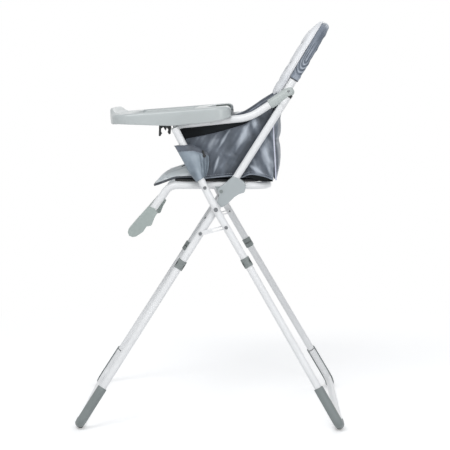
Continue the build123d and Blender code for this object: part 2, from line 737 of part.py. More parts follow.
save(seat_hinges, "seat_hinges")

# Footrest, sliding on the dropped ends of the seat rails
with BuildPart() as footrest:
    for side in SIDES.values():
        add(slab(FOOTREST_SHAPE, FOOTREST_INNER, FOOTREST_OUTER, side, FOOTREST_ROUND))
    for shape in (FOOTREST_TREAD, FOOTREST_NOSE):
        add(middle_slab(shape, FOOTREST_INNER + FOOTREST_OVERLAP))
    for side in SIDES.values():
        corner = Vector(SEAT_CORNER_X, side * SEAT_Y, SEAT_Z)
        bore_length = SEAT_DROP + FOOTREST_TRAVEL + TUBE_END_GAP
        add(rod([corner, corner + SEAT_DROP_WAY * bore_length], TUBE_RADIUS + FIT), mode=Mode.SUBTRACT)
save(footrest, "footrest")

# Seat board and cushion
with BuildPart() as seat_board:
    add(block(SEAT_BOARD_X, (-SEAT_BOARD_HALF, SEAT_BOARD_HALF), SEAT_BOARD_Z))
    fillet(seat_board.edges().filter_by(Axis.Z), SEAT_BOARD_ROUND)
save(seat_board, "seat_board")


def drawn_in(shape, draw):
    """Side-view outline of the cushion shrunk towards the middle of its underside."""
    middle_x = sum(x for x, _ in shape) / len(shape)
    bottom = shape[-1][1]
    return [(middle_x + (x - middle_x) * draw, bottom + (z - bottom) * draw) for x, z in shape]


def thinned(share):
    """Outline of the lower back with its front face brought nearer to its rear face."""
    front = []
    for x, z in LOWER_BACK_INNER:
        near = min(LOWER_BACK_OUTER, key=lambda point: abs(point[1] - z))
        front.append((near[0] + (x - near[0]) * share, z))
    return LOWER_BACK_OUTER + front


def across_loft(half, sections, outline):
    """Cushion running across the chair, with sections given by distance in from each end."""
    left_half = [(-half + inset, share) for inset, share in sections]
    right_half = [(-y, share) for y, share in reversed(left_half)]
    with BuildPart() as body:
        for y, share in left_half + right_half:
            with BuildSketch(Plane.XZ.offset(-y)):
                with BuildLine():
                    Polyline(*outline(share), close=True)
                make_face()
        loft(ruled=True)
    return body.part


with BuildPart() as seat_pad:
    add(across_loft(SEAT_PAD_HALF, SEAT_PAD_SECTIONS, lambda share: drawn_in(SEAT_PAD_SHAPE, share)))
save(seat_pad, "seat_pad")

# Cloth seat sides, padded lower back and the sleeves on the rear uprights
STRIP_TURN = (STRIP_HALF * sin(FRONT_ANGLE), STRIP_HALF * cos(FRONT_ANGLE))
STRIP_SHAPE = []
for distance, edge in ((STRIP_AT[0], -1), (STRIP_AT[0], 1), (STRIP_AT[1], 1), (STRIP_AT[1], -1)):
    strip_x, strip_z = side_view(on_front(distance, 0))
    STRIP_SHAPE.append((strip_x + edge * STRIP_TURN[0], strip_z - edge * STRIP_TURN[1]))

for word, side in SIDES.items():
    with BuildPart() as side_panel:
        add(slab(PANEL_SHAPE, PANEL_INNER, PANEL_OUTER, side, PANEL_ROUND))
        add(slab(STRIP_SHAPE, PANEL_INNER, FRONT_Y - TUBE_RADIUS - SKIN_GAP, side))
    save(side_panel, f"side_panel_{word}")

    with BuildPart() as cloth_sleeve:
        add(slab(FLAP_SHAPE, FLAP_INNER, FLAP_OUTER, side, PANEL_ROUND))
        add(rod([on_rear_high(SLEEVE_FROM, side * REAR_Y), on_rear_high(SLEEVE_TO, side * REAR_Y)],
                TUBE_RADIUS + SLEEVE_WALL))
        below = on_rear_high(SLEEVE_FROM - SLEEVE_RELIEF, side * REAR_Y)
        above = on_rear_high(SLEEVE_TO + OVERCUT, side * REAR_Y)
        add(rod([below, above], TUBE_RADIUS + CLOTH_FIT), mode=Mode.SUBTRACT)
    save(cloth_sleeve, f"cloth_sleeve_{word}")

with BuildPart() as lower_back:
    add(across_loft(LOWER_BACK_HALF, LOWER_BACK_SECTIONS, thinned))
save(lower_back, "lower_back")

# Tray shell
TRAY_PLANE = Plane(
    origin=(0, 0, TRAY_Z), x_dir=(cos(TRAY_ANGLE), 0, sin(TRAY_ANGLE)),
    z_dir=(-sin(TRAY_ANGLE), 0, cos(TRAY_ANGLE)),
)


def tray_outline(plane, inset):
    """Tray plan with a bowed front, drawn in all round by an inset."""
    half = TRAY_HALF_WIDTH - inset
    front_side = TRAY_FRONT_X + TRAY_FRONT_BOW + inset
    rear = TRAY_REAR_X - inset
    with BuildSketch(plane) as face:
        with BuildLine():
            ThreePointArc((front_side, -half), (TRAY_FRONT_X + inset, 0), (front_side, half))
            Polyline((front_side, half), (rear, half), (rear, -half), (front_side, -half))
        make_face()
        fillet(face.vertices().group_by(Axis.X)[0], TRAY_CORNER)
        fillet(face.vertices().group_by(Axis.X)[-1], TRAY_REAR_ROUND)
    return face.sketch


def belly_cut(plane, inset):
    """Opening in the tray's rear edge for the child."""
    half = TRAY_CUT_HALF - inset
    with BuildSketch(plane) as face:
        with BuildLine():
            Polyline(
                (TRAY_CUT_X + inset, -half), (TRAY_REAR_X + OVERCUT, -half), (TRAY_REAR_X + OVERCUT, half),
                (TRAY_CUT_X + inset, half), close=True,
            )
        make_face()
        fillet(face.vertices().group_by(Axis.X)[0], TRAY_CUT_ROUND)
    return face.sketch


def tray_point(x, z):
    """Side-view point given in the tray's own frame."""
    return (x * cos(TRAY_ANGLE) - z * sin(TRAY_ANGLE), TRAY_Z + x * sin(TRAY_ANGLE) + z * cos(TRAY_ANGLE))


with BuildPart() as tray_deck:
    add(tray_outline(TRAY_PLANE.offset(-TRAY_DECK), 0))
    extrude(amount=TRAY_DECK, dir=TRAY_PLANE.z_dir)
    add(belly_cut(TRAY_PLANE.offset(-TRAY_DECK), 0))
    extrude(amount=TRAY_DECK, dir=TRAY_PLANE.z_dir, mode=Mode.SUBTRACT)
    fillet(tray_deck.faces().sort_by(Axis.Z)[-1].edges(), RIM_ROUND)

with BuildPart() as tray_well:
    add(tray_outline(TRAY_PLANE.offset(TRAY_FLOOR - TRAY_DECK), TRAY_RIM))
    extrude(amount=2 * TRAY_DECK, dir=TRAY_PLANE.z_dir)
    add(belly_cut(TRAY_PLANE.offset(TRAY_FLOOR - TRAY_DECK), -TRAY_CUT_RIM))
    extrude(amount=2 * TRAY_DECK, dir=TRAY_PLANE.z_dir, mode=Mode.SUBTRACT)
    fillet(tray_well.faces().sort_by(Axis.Z)[0].edges(), RIM_ROUND)

ACROSS = (-2 * TRAY_HALF_WIDTH, 2 * TRAY_HALF_WIDTH)
AROUND_TRAY_Z = (TRAY_Z - TRAY_BAND, TRAY_Z + TRAY_BAND)
APRON_REAR = (TRAY_FRONT_X + APRON_LENGTH, 2 * TRAY_HALF_WIDTH)
with BuildPart() as tray_apron:
    add(tray_outline(TRAY_PLANE.offset(-APRON_DEPTH), 0))
    extrude(amount=APRON_DEPTH - TRAY_DECK / 2, dir=TRAY_PLANE.z_dir)
    add(tray_outline(TRAY_PLANE.offset(-APRON_DEPTH), TRAY_WALL))
    extrude(amount=APRON_DEPTH, dir=TRAY_PLANE.z_dir, mode=Mode.SUBTRACT)
    add(block(APRON_REAR, ACROSS, AROUND_TRAY_Z), mode=Mode.SUBTRACT)


def lip_outline(plane, inset):
    """Plan of the raised front lip, following the bow of the tray's front edge."""
    half = TRAY_HALF_WIDTH - LIP_END_IN - inset
    bow = TRAY_FRONT_BOW * (half / TRAY_HALF_WIDTH) ** 2
    front = TRAY_FRONT_X + inset
    rear = TRAY_FRONT_X + LIP_DEPTH - inset
    with BuildSketch(plane) as face:
        with BuildLine():
            ThreePointArc((front + bow, -half), (front, 0), (front + bow, half))
            Line((front + bow, half), (rear + bow, half))
            ThreePointArc((rear + bow, half), (rear, 0), (rear + bow, -half))
            Line((rear + bow, -half), (front + bow, -half))
        make_face()
    return face.sketch


with BuildPart() as tray_lip:
    add(lip_outline(TRAY_PLANE.offset(-RIM_ROUND), LIP_FOOT_INSET))
    add(lip_outline(TRAY_PLANE.offset(LIP_HEIGHT), LIP_TOP_INSET))
    loft(ruled=True)

with BuildPart() as tray_shell:
    add(tray_deck.part)
    add(tray_apron.part)
    for side in SIDES.values():
        skirt = [tray_point(x, z) for x, z in SKIRT_SHAPE]
        add(slab(skirt, TRAY_HALF_WIDTH - TRAY_WALL, TRAY_HALF_WIDTH, side))
    add(tray_well.part, mode=Mode.SUBTRACT)
    add(tray_lip.part)
save(tray_shell, "tray_shell")

# Runners under the tray that ride on the armrests


def arm_line_z(x):
    """Height of the armrest axis at a distance along X."""
    return ARM_FRONT[1] + (x - ARM_FRONT[0]) * ARM_WAY.Z / ARM_WAY.X


def deck_under_z(x):
    """Height of the underside of the tray deck."""
    return TRAY_Z + x * tan(TRAY_ANGLE) - TRAY_DECK / cos(TRAY_ANGLE)


with BuildPart() as tray_runners:
    for side in SIDES.values():
        for x_from, x_to in RUNNER_X:
            saddle = [
                (x_from, deck_under_z(x_from)), (x_to, deck_under_z(x_to)),
                (x_to, arm_line_z(x_to) - RUNNER_DROP), (x_from, arm_line_z(x_from) - RUNNER_DROP),
            ]
            cut_from = x_from - OVERCUT / 2
            cut_to = x_to + OVERCUT / 2
            slot = [
                (cut_from, arm_line_z(cut_from)), (cut_to, arm_line_z(cut_to)),
                (cut_to, arm_line_z(cut_to) - 2 * RUNNER_DROP),
                (cut_from, arm_line_z(cut_from) - 2 * RUNNER_DROP),
            ]
            opening = TUBE_RADIUS + FIT
            add(slab(saddle, FRONT_Y - opening - RUNNER_LEG, FRONT_Y + opening + RUNNER_LEG, side))
            add(slab(slot, FRONT_Y - opening, FRONT_Y + opening, side), mode=Mode.SUBTRACT)
        axis_start = Vector(ARM_FRONT[0], side * FRONT_Y, ARM_FRONT[1])
        bore = [axis_start + ARM_WAY * distance for distance in RUNNER_BORE]
        add(rod(bore, TUBE_RADIUS + FIT), mode=Mode.SUBTRACT)
save(tray_runners, "tray_runners")

# Tray catches: a sprung lever in a housing under each side of the tray
with BuildPart() as catch_housings:
    for side in SIDES.values():
        floor_z = CATCH_PIVOT[1] - HOUSING_DROP
        front_x = CATCH_PIVOT[0] - HOUSING_HALF
        rear_x = CATCH_PIVOT[0] + HOUSING_HALF
        cheek = [
            (front_x, deck_under_z(front_x)), (rear_x, deck_under_z(rear_x)),
            (rear_x, floor_z), (front_x, floor_z),
        ]
        add(slab(cheek, CATCH_INNER - HOUSING_WALL - SKIN_GAP, CATCH_INNER - SKIN_GAP, side))
        add(slab(cheek, CATCH_OUTER + SKIN_GAP, CATCH_OUTER + HOUSING_WALL + SKIN_GAP, side))
        across = (CATCH_INNER - OVERCUT, CATCH_OUTER + OVERCUT)
        add(cross_rod(CATCH_PIVOT, *across, side, CATCH_PIN_RADIUS + FIT), mode=Mode.SUBTRACT)
save(catch_housings, "catch_housings")

with BuildPart() as catch_pins:
    for side in SIDES.values():
        across = (CATCH_INNER - HOUSING_WALL, CATCH_OUTER + HOUSING_WALL)
        add(cross_rod(CATCH_PIVOT, *across, side, CATCH_PIN_RADIUS))
save(catch_pins, "catch_pins")

for word, side in SIDES.items():
    with BuildPart() as tray_catch:
        add(slab(CATCH_SHAPE, CATCH_INNER, CATCH_OUTER, side, CATCH_ROUND))
        across = (CATCH_INNER - OVERCUT, CATCH_OUTER + OVERCUT)
        add(cross_rod(CATCH_PIVOT, *across, side, CATCH_PIN_RADIUS + FIT), mode=Mode.SUBTRACT)
    save(tray_catch, f"tray_catch_{word}")

# Harness: shoulder straps on the back pad, crotch and waist straps with a buckle on the seat
with BuildPart() as shoulder_straps:
    for side in SIDES.values():
        front_face = BACK_PLANE.offset(-COVER_HALF - BACK_PAD_THICK - SKIN_GAP)
        with BuildSketch(front_face):
            with Locations((side * SHOULDER_Y, SHOULDER_MIDDLE)):
                Rectangle(STRAP_WIDTH, SHOULDER_LENGTH)
        extrude(amount=STRAP_THICK, dir=-BACK_PLANE.z_dir)
save(shoulder_straps, "shoulder_straps")

STRAP_Z = max(z for _, z in SEAT_PAD_SHAPE) + SKIN_GAP
BUCKLE_FRONT = BUCKLE_X - BUCKLE_SIZE[0] / 2
BUCKLE_TOP = STRAP_Z + BUCKLE_SIZE[2]
BUTTON_BOTTOM = BUCKLE_TOP - BUTTON_WELL + BUTTON_TRAVEL + SKIN_GAP


def about_buckle(size, grow=0):
    """X and Y limits of a rectangle centred on the buckle."""
    half_x = size[0] / 2 + grow
    half_y = size[1] / 2 + grow
    return (BUCKLE_X - half_x, BUCKLE_X + half_x), (-half_y, half_y)


with BuildPart() as waist_straps:
    for side in SIDES.values():
        span = sorted((side * (BUCKLE_SIZE[1] / 2 + SKIN_GAP), side * WAIST_END))
        strap_x = (BUCKLE_X - STRAP_WIDTH / 2, BUCKLE_X + STRAP_WIDTH / 2)
        add(block(strap_x, span, (STRAP_Z, STRAP_Z + STRAP_THICK)))
save(waist_straps, "waist_straps")

with BuildPart() as crotch_strap:
    crotch_x = (BUCKLE_FRONT - CROTCH_LENGTH, BUCKLE_FRONT - SKIN_GAP)
    add(block(crotch_x, (-STRAP_WIDTH / 2, STRAP_WIDTH / 2), (STRAP_Z, STRAP_Z + STRAP_THICK)))
save(crotch_strap, "crotch_strap")

with BuildPart() as buckle:
    add(block(*about_buckle(BUCKLE_SIZE), (STRAP_Z, BUCKLE_TOP)))
    fillet(buckle.edges().filter_by(Axis.Z), BUCKLE_ROUND)
    fillet(buckle.faces().sort_by(Axis.Z)[-1].edges(), BUCKLE_EDGE)
    well_z = (BUCKLE_TOP - BUTTON_WELL, BUCKLE_TOP + OVERCUT)
    add(block(*about_buckle(BUTTON_SIZE, FIT), well_z), mode=Mode.SUBTRACT)
save(buckle, "buckle")

with BuildPart() as buckle_button:
    add(block(*about_buckle(BUTTON_SIZE), (BUTTON_BOTTOM, BUTTON_BOTTOM + BUTTON_SIZE[2])))
    fillet(buckle_button.faces().sort_by(Axis.Z)[-1].edges(), BUTTON_EDGE)
save(buckle_button, "buckle_button")
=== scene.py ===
"""Looks of a folding baby high chair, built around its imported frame. X to the rear, Z up.

Points are in metres; the sizes of pieces are in millimetres.
"""

from math import cos, exp, hypot, pi, radians, sin, sqrt, tan

import bmesh
import bpy
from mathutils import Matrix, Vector, noise
from mathutils.bvhtree import BVHTree


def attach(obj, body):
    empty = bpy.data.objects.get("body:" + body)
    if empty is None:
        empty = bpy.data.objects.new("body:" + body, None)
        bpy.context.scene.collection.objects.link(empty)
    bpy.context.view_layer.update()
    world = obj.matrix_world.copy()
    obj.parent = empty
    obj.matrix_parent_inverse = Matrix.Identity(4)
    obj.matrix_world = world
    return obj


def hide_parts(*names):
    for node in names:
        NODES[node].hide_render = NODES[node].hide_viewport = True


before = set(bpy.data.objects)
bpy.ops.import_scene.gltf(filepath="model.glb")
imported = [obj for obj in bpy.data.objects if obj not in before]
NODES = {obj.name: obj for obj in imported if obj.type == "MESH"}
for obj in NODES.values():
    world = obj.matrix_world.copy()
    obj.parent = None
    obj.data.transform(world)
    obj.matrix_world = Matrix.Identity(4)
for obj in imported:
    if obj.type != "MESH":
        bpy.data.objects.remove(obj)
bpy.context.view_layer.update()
MM = 0.001
SIDES = {"left": -1, "right": 1}

# Camera, in the photograph's square frame
IMAGE_SIZE = 450
FOCAL_PIXELS = 1412.3
SENSOR = 36.0
CAMERA_AT = (0.1205, -3.7842, 0.8947)
CAMERA_YAW = radians(-1.317)
CAMERA_PITCH = radians(-6.013)

# Frame lines shared with the solids, in millimetres
TUBE_RADIUS = 9.5
PIVOT = Vector((15.6, 0, 558.8))
FRONT_ANGLE = radians(57.5)
REAR_HIGH_ANGLE = radians(63.3)
REAR_Y = 221
FRONT_Y = 197
BACK_ROOT = Vector((189.1, 0, 848))
BACK_ANGLE = radians(59.3)
TRAY_ANGLE = radians(4.46)
TRAY_Z = 816.6


# Materials


def linear(hex_color):
    """Linear colour of a six-digit screen colour."""
    channels = [int(hex_color[i:i + 2], 16) / 255 for i in (0, 2, 4)]
    return [c / 12.92 if c <= 0.04045 else ((c + 0.055) / 1.055) ** 2.4 for c in channels] + [1.0]


# Point attribute that holds painted light and shade for the cloth materials
PAINTED_LIGHT_ATTRIBUTE = "fold"


class NodeTree:
    """Nodes of a material or a world, with short ways to add them."""

    def __init__(self, owner):
        owner.use_nodes = True
        self.nodes = owner.node_tree.nodes
        self.links = owner.node_tree.links

    def feed(self, socket, value):
        """Links an output to a socket, or sets a constant on it."""
        if isinstance(value, bpy.types.NodeSocket):
            self.links.new(value, socket)
        else:
            socket.default_value = value

    def add(self, kind, inputs=(), **settings):
        """New node with its settings and with what goes into its inputs, by name or number."""
        node = self.nodes.new(kind)
        for key, value in settings.items():
            setattr(node, key, value)
        for key, value in dict(inputs).items():
            self.feed(node.inputs[key], value)
        return node

    def math(self, operation, first, second):
        return self.add("ShaderNodeMath", {0: first, 1: second}, operation=operation).outputs["Value"]

    def mix(self, factor, first, second):
        return self.add("ShaderNodeMixShader", {0: factor, 1: first, 2: second}).outputs["Shader"]

    def seen_rays(self):
        """1 for rays from the camera, from mirrors and through clear pieces."""
        path = self.add("ShaderNodeLightPath").outputs
        rays = self.math("ADD", path["Is Camera Ray"], path["Is Glossy Ray"])
        return self.math("ADD", rays, path["Is Transmission Ray"])


class Shader(NodeTree):
    """A principled material."""

    def __init__(self, name):
        self.material = bpy.data.materials.new(name)
        super().__init__(self.material)
        self.principled = self.nodes["Principled BSDF"]
        self.place = self.add("ShaderNodeTexCoord").outputs["Object"]

    def set(self, **values):
        """Constants or links on the principled shader, named with underscores."""
        for key, value in values.items():
            self.feed(self.principled.inputs[key.replace("_", " ")], value)

    def noise(self, scale, detail=2.0, stretch=(1, 1, 1), roughness=0.5):
        """Noise over the piece, with its scale along each axis."""
        mapping = self.add("ShaderNodeMapping", {"Vector": self.place, "Scale": stretch})
        inputs = {"Vector": mapping.outputs["Vector"], "Scale": scale, "Detail": detail}
        return self.add("ShaderNodeTexNoise", {**inputs, "Roughness": roughness}).outputs["Fac"]

    def wave(self, scale, axis):
        """Fine parallel threads across one axis."""
        inputs = {"Vector": self.place, "Scale": scale}
        return self.add("ShaderNodeTexWave", inputs, bands_direction=axis).outputs["Fac"]

    def ramp(self, factor, stops):
        """Colour ramp through (place, colour) stops."""
        node = self.add("ShaderNodeValToRGB", {"Fac": factor})
        elements = node.color_ramp.elements
        while len(elements) < len(stops):
            elements.new(0.5)
        for element, (place, color) in zip(elements, stops):
            element.position = place
            element.color = color
        return node.outputs["Color"]

    def span(self, factor, low, high):
        """Factor mapped from 0..1 to low..high."""
        inputs = {"Value": factor, "To Min": low, "To Max": high}
        return self.add("ShaderNodeMapRange", inputs).outputs["Result"]

    def bump(self, height, strength, distance):
        node = self.add("ShaderNodeBump", {"Height": height, "Strength": strength, "Distance": distance})
        self.set(Normal=node.outputs["Normal"])


def shade(color, factor):
    """Colour made darker or lighter."""
    return [min(1.0, c * factor) for c in color[:3]] + [1.0]


def rigid_finish(name, hex_color, mottle, tones, gloss, roughness, grain, relief, **constants):
    """Rigid finish: noises for its mottled colour, uneven gloss and fine grain, each with its range."""
    shader = Shader(name)
    base = linear(hex_color)
    spread, dark, light = tones
    stops = [(0.5 - spread, shade(base, dark)), (0.5 + spread, shade(base, light))]
    shader.set(Base_Color=shader.ramp(shader.noise(*mottle), stops),
               Roughness=shader.span(shader.noise(*gloss), *roughness), **constants)
    shader.bump(shader.noise(*grain), *relief)
    return shader.material


def moulded_plastic(name, hex_color, roughness=(0.34, 0.5), grain=0.12):
    """Moulded plastic with a fine grain and uneven gloss."""
    return rigid_finish(name, hex_color, mottle=(9, 5), tones=(0.2, 0.94, 1.03), gloss=(55, 4),
                        roughness=roughness, grain=(1400, 3), relief=(grain, 0.0004))


def woven_cloth(name, dark, mid, light, streak=(1, 1, 1), thread=420, sheen=0.4, roughness=(0.36, 0.55),
                painted_share=0.0, weave=0.06, specular=0.5):
    """Close-woven satin cloth with streaks of painted sheen and random mottling; painted_share is the share
    of its colour taken from the painted light and shade stored on its points.
    """
    shader = Shader(name)
    # Painted sheen: lighter and darker streaks, which also set the roughness
    sheen_streaks = shader.noise(9, 3, streak, 0.55)
    # Painted light and shade stored on the points make up part of the colour
    if painted_share:
        painted_light = shader.add("ShaderNodeAttribute", attribute_name=PAINTED_LIGHT_ATTRIBUTE).outputs["Fac"]
        sheen_streaks = shader.math("ADD", shader.math("MULTIPLY", sheen_streaks, 1 - painted_share),
                              shader.math("MULTIPLY", painted_light, painted_share))
    mottle = shader.noise(70, 3)
    mixed = shader.math("ADD", shader.math("MULTIPLY", sheen_streaks, 0.85), shader.math("MULTIPLY", mottle, 0.15))
    tones = [(0.34, linear(dark)), (0.5, linear(mid)), (0.68, linear(light))]
    shader.set(Base_Color=shader.ramp(mixed, tones),
               Roughness=shader.span(sheen_streaks, roughness[1], roughness[0]), Sheen_Weight=sheen,
               Sheen_Roughness=0.4, Sheen_Tint=linear(light), Specular_IOR_Level=specular)
    warp, cross, weft = [shader.wave(thread, axis) for axis in "XYZ"]
    shader.bump(shader.math("ADD", shader.math("MULTIPLY", warp, weft), cross), weave, 0.0005)
    return shader.material


WHITE = rigid_finish("white_powder_coat", "F0F1F2", mottle=(14, 4), tones=(0.15, 0.96, 1), gloss=(40, 3),
                     roughness=(0.24, 0.4), grain=(500, 2), relief=(0.03, 0.0004))
TRAY_GREY = moulded_plastic("tray_plastic", "BCC2C2", (0.26, 0.34), 0.006)
BRACKET_GREY = moulded_plastic("bracket_plastic", "AFB6B8")
JOINT_GREY = moulded_plastic("joint_plastic", "BEC5C3")
FOOTREST_GREY = moulded_plastic("footrest_plastic", "A9B3B0")
RUNNER_WHITE = moulded_plastic("runner_plastic", "E6E8E9")
# Dark grey for the inner walls of the tray's arms: painted shade of their shadowed side
SHADE_GREY = moulded_plastic("painted_shade_plastic", "59625F")
COLLAR_GREY = moulded_plastic("collar_plastic", "868D8C")
FOOT_GREY = moulded_plastic("foot_plastic", "838A8A")
BLACK = moulded_plastic("black_plastic", "26282A", (0.4, 0.55))
RUBBER = moulded_plastic("black_rubber", "1C1D1E", (0.7, 0.9), 0.25)
STEEL = rigid_finish("zinc_steel", "85888B", mottle=(220, 3), tones=(0.15, 0.8, 1), gloss=(400, 2),
                     roughness=(0.28, 0.45), grain=(1800, 2), relief=(0.1, 0.0003), Metallic=1.0)
BOARD = rigid_finish("seat_board", "2B2C2E", mottle=(90, 6, (1, 6, 1)), tones=(0.2, 0.75, 1), gloss=(300, 2),
                     roughness=(0.6, 0.8), grain=(700, 3), relief=(0.2, 0.0005))
SLATE = woven_cloth("slate_cloth", "454B54", "646B76", "98A1AD", (1.3, 1.0, 0.35))
# These cloths take part of their colour from the painted light and shade stored on their points
PAINTED_FOLD_SLATE = woven_cloth("painted_fold_slate", "383F48", "616974", "B2BAC4", (1.3, 1.0, 0.35), painted_share=0.62,
                           roughness=(0.3, 0.48))
FLAP_SLATE = woven_cloth("flap_cloth", "606B76", "94A0AB", "BFC9D1", (1.6, 1.0, 0.4), painted_share=0.55)
PAD_SLATE = woven_cloth("seat_cloth", "828C95", "B2BCC3", "E2E8EB", (0.5, 0.35, 1.0), painted_share=0.6)
COVER_SLATE = woven_cloth("cover_cloth", "565F6B", "7E8794", "C0C8D1", (0.8, 1.0, 1.6), painted_share=0.7)
PALE = woven_cloth("pale_cloth", "DCDFE3", "EAECEF", "F5F6F8", sheen=0.2, roughness=(0.6, 0.75), weave=0.02)
WHITE_PIPING = woven_cloth("white_piping", "E2E3E8", "EEEFF2", "F6F6F8", sheen=0.2)
PIPING = woven_cloth("piping_cloth", "B4B8CC", "CACDDE", "E0E2EE", sheen=0.3)
DARK_BINDING = woven_cloth("binding_cloth", "24272D", "33373E", "4A4F58", sheen=0.2)
# Near-black with little specular: painted shade for the shadowed inside of the seat, seen below the armrests
SHADE_LINING = woven_cloth("painted_shade_cloth", "0D1012", "14181B", "1F2427", sheen=0.02, specular=0.12)
HEM_SLATE = woven_cloth("hem_cloth", "6A727D", "88909B", "A6AEB8")
EDGE_SLATE = woven_cloth("edge_cloth", "2A2E34", "3E434A", "5A6068")
WEBBING = woven_cloth("webbing", "1E2023", "2B2E32", "44484E", (4, 1, 4), thread=160, sheen=0.2)
THREAD = woven_cloth("thread", "9AA0AE", "B4B9C6", "CDD1DB", sheen=0.2)


# Mesh helpers


def at(x, y, z):
    """Point from millimetres."""
    return Vector((x, y, z)) * MM


def new_object(name, vertices, faces, material):
    """Smooth-shaded mesh object in the shared frame."""
    mesh = bpy.data.meshes.new(name)
    mesh.from_pydata([tuple(v) for v in vertices], [], faces)
    mesh.validate()
    mesh.materials.append(material)
    mesh.shade_smooth()
    obj = bpy.data.objects.new(name, mesh)
    bpy.context.scene.collection.objects.link(obj)
    return obj


def apply_modifiers(obj):
    """Replaces the object's mesh by what its modifiers make of it."""
    bpy.context.view_layer.update()
    evaluated = obj.evaluated_get(bpy.context.evaluated_depsgraph_get())
    mesh = bpy.data.meshes.new_from_object(evaluated)
    obj.modifiers.clear()
    obj.data = mesh
    obj.data.shade_smooth()


def subdivide(obj, levels):
    modifier = obj.modifiers.new("subdivide", "SUBSURF")
    modifier.levels = levels
    modifier.render_levels = levels
    apply_modifiers(obj)


def thicken(obj, thickness, offset=0.0):
    modifier = obj.modifiers.new("thickness", "SOLIDIFY")
    modifier.thickness = thickness * MM
    modifier.offset = offset
    apply_modifiers(obj)


def soften(obj, width):
    """Rounds the edges of a CAD node with modifiers alone."""
    weld = obj.modifiers.new("weld", "WELD")
    weld.merge_threshold = 0.02 * MM
    flat = obj.modifiers.new("flat", "DECIMATE")
    flat.decimate_type = "DISSOLVE"
    flat.angle_limit = radians(1)
    bevel = obj.modifiers.new("edge", "BEVEL")
    bevel.width = width * MM
    bevel.segments = 2
    bevel.limit_method = "ANGLE"
    bevel.angle_limit = radians(35)
    normals = obj.modifiers.new("normals", "WEIGHTED_NORMAL")
    normals.keep_sharp = True


def outward(obj):
    """Turns all faces of a closed mesh outwards."""
    mesh = bmesh.new()
    mesh.from_mesh(obj.data)
    bmesh.ops.recalc_face_normals(mesh, faces=mesh.faces)
    mesh.to_mesh(obj.data)
    mesh.free()
    return obj


def sharpen(obj, angle=50):
    """Keeps hard edges hard on a smooth-shaded mesh."""
    obj.data.set_sharp_from_angle(angle=radians(angle))


def second_finish(obj, material, chosen):
    """Gives the faces that chosen picks a second material."""
    obj.data.materials.append(material)
    for face in obj.data.polygons:
        face.material_index = 1 if chosen(face) else 0


def light_up(obj, lights):
    """Stores painted light and shade on each point, for the cloth materials."""
    painted_lights = obj.data.attributes.new(PAINTED_LIGHT_ATTRIBUTE, "FLOAT", "POINT")
    for painted_light, light in zip(painted_lights.data, lights):
        painted_light.value = light


def grid_faces(rows, columns, wrap_columns=False):
    """Quads over a grid of points numbered row by row."""
    faces = []
    for start in range(0, (rows - 1) * columns, columns):
        for j in range(columns if wrap_columns else columns - 1):
            beside = (j + 1) % columns
            faces.append((start + j, start + beside, start + columns + beside, start + columns + j))
    return faces


def closed_slab(name, points, rows, columns, material):
    """Closed mesh from columns of points, each down one face and back up the other."""
    ring = 2 * rows
    faces = grid_faces(columns, ring, wrap_columns=True)
    for start in (0, (columns - 1) * ring):
        for i in range(rows - 1):
            faces.append((start + i, start + i + 1, start + ring - 2 - i, start + ring - 1 - i))
    return outward(new_object(name, points, faces, material))


def lofted(name, rings, material, fans=True):
    """Closed mesh through rings of equal count, closed at both ends by fans or by flat faces."""
    count = len(rings[0])
    vertices = [p for ring in rings for p in ring]
    faces = grid_faces(len(rings), count, wrap_columns=True)
    for start in (0, (len(rings) - 1) * count):
        if fans:
            middle = len(vertices)
            vertices.append(sum(vertices[start:start + count], Vector()) / count)
            faces.extend((start + s, start + (s + 1) % count, middle) for s in range(count))
        else:
            faces.append(tuple(range(start, start + count)))
    return outward(new_object(name, vertices, faces, material))


def share_between(value, start=0, end=1):
    """0 at the start, 1 at the end, which may lie below it, and straight between them."""
    return min(1.0, max(0.0, (value - start) / (end - start)))


def eased(value, start=0, end=1):
    """0 at the start, 1 at the end, which may lie below it, and smooth between them."""
    t = share_between(value, start, end)
    return t * t * (3 - 2 * t)


def bell(t):
    """1 at 0, fading out to both sides."""
    return exp(-t * t)


def wrinkle(a, b, c):
    """Smooth noise in three directions."""
    return noise.noise(Vector((a, b, c)))


def along_line(x, line):
    """Height at x on a line of straight runs."""
    for (x0, z0), (x1, z1) in zip(line, line[1:]):
        if x <= x1:
            return z0 + (z1 - z0) * max(0.0, (x - x0) / (x1 - x0))
    return line[-1][1]


def through(points, count):
    """Evenly numbered points on a smooth curve through the given ones."""
    points = [Vector(p) for p in points]
    ends = [points[0] * 2 - points[1]] + points + [points[-1] * 2 - points[-2]]
    lengths = [(b - a).length for a, b in zip(points, points[1:])]
    total = sum(lengths)
    result = []
    for k in range(count):
        distance = total * k / (count - 1)
        i = 0
        while i < len(lengths) - 1 and distance > lengths[i]:
            distance -= lengths[i]
            i += 1
        t = min(1.0, distance / lengths[i])
        a, b, c, d = ends[i:i + 4]
        result.append(0.5 * (2 * b + (c - a) * t + (2 * a - 5 * b + 4 * c - d) * t * t
                             + (3 * b - a - 3 * c + d) * t ** 3))
    return result


def side_curve(line, count):
    """Smooth curve through (x, z) points in side view."""
    return through([Vector((x, 0, z)) for x, z in line], count)


def rounded_ring(corners, radii, arc_steps, straight_steps):
    """Points round a polygon with rounded corners, the same count for any size."""
    starts = []
    for k, corner in enumerate(corners):
        corner = Vector(corner)
        before = (Vector(corners[k - 1]) - corner).normalized()
        after = (Vector(corners[(k + 1) % len(corners)]) - corner).normalized()
        half = before.angle(after) / 2
        reach = radii[k] / tan(half)
        middle = corner + (before + after).normalized() * (radii[k] / sin(half))
        first = corner + before * reach
        last = corner + after * reach
        arc = []
        for s in range(arc_steps + 1):
            t = s / arc_steps
            way = ((first - middle) * (1 - t) + (last - middle) * t).normalized()
            arc.append(middle + way * radii[k])
        starts.append(arc)
    points = []
    for k, arc in enumerate(starts):
        points.extend(arc)
        end = arc[-1]
        begin = starts[(k + 1) % len(starts)][0]
        points.extend(end.lerp(begin, s / straight_steps) for s in range(1, straight_steps))
    return points


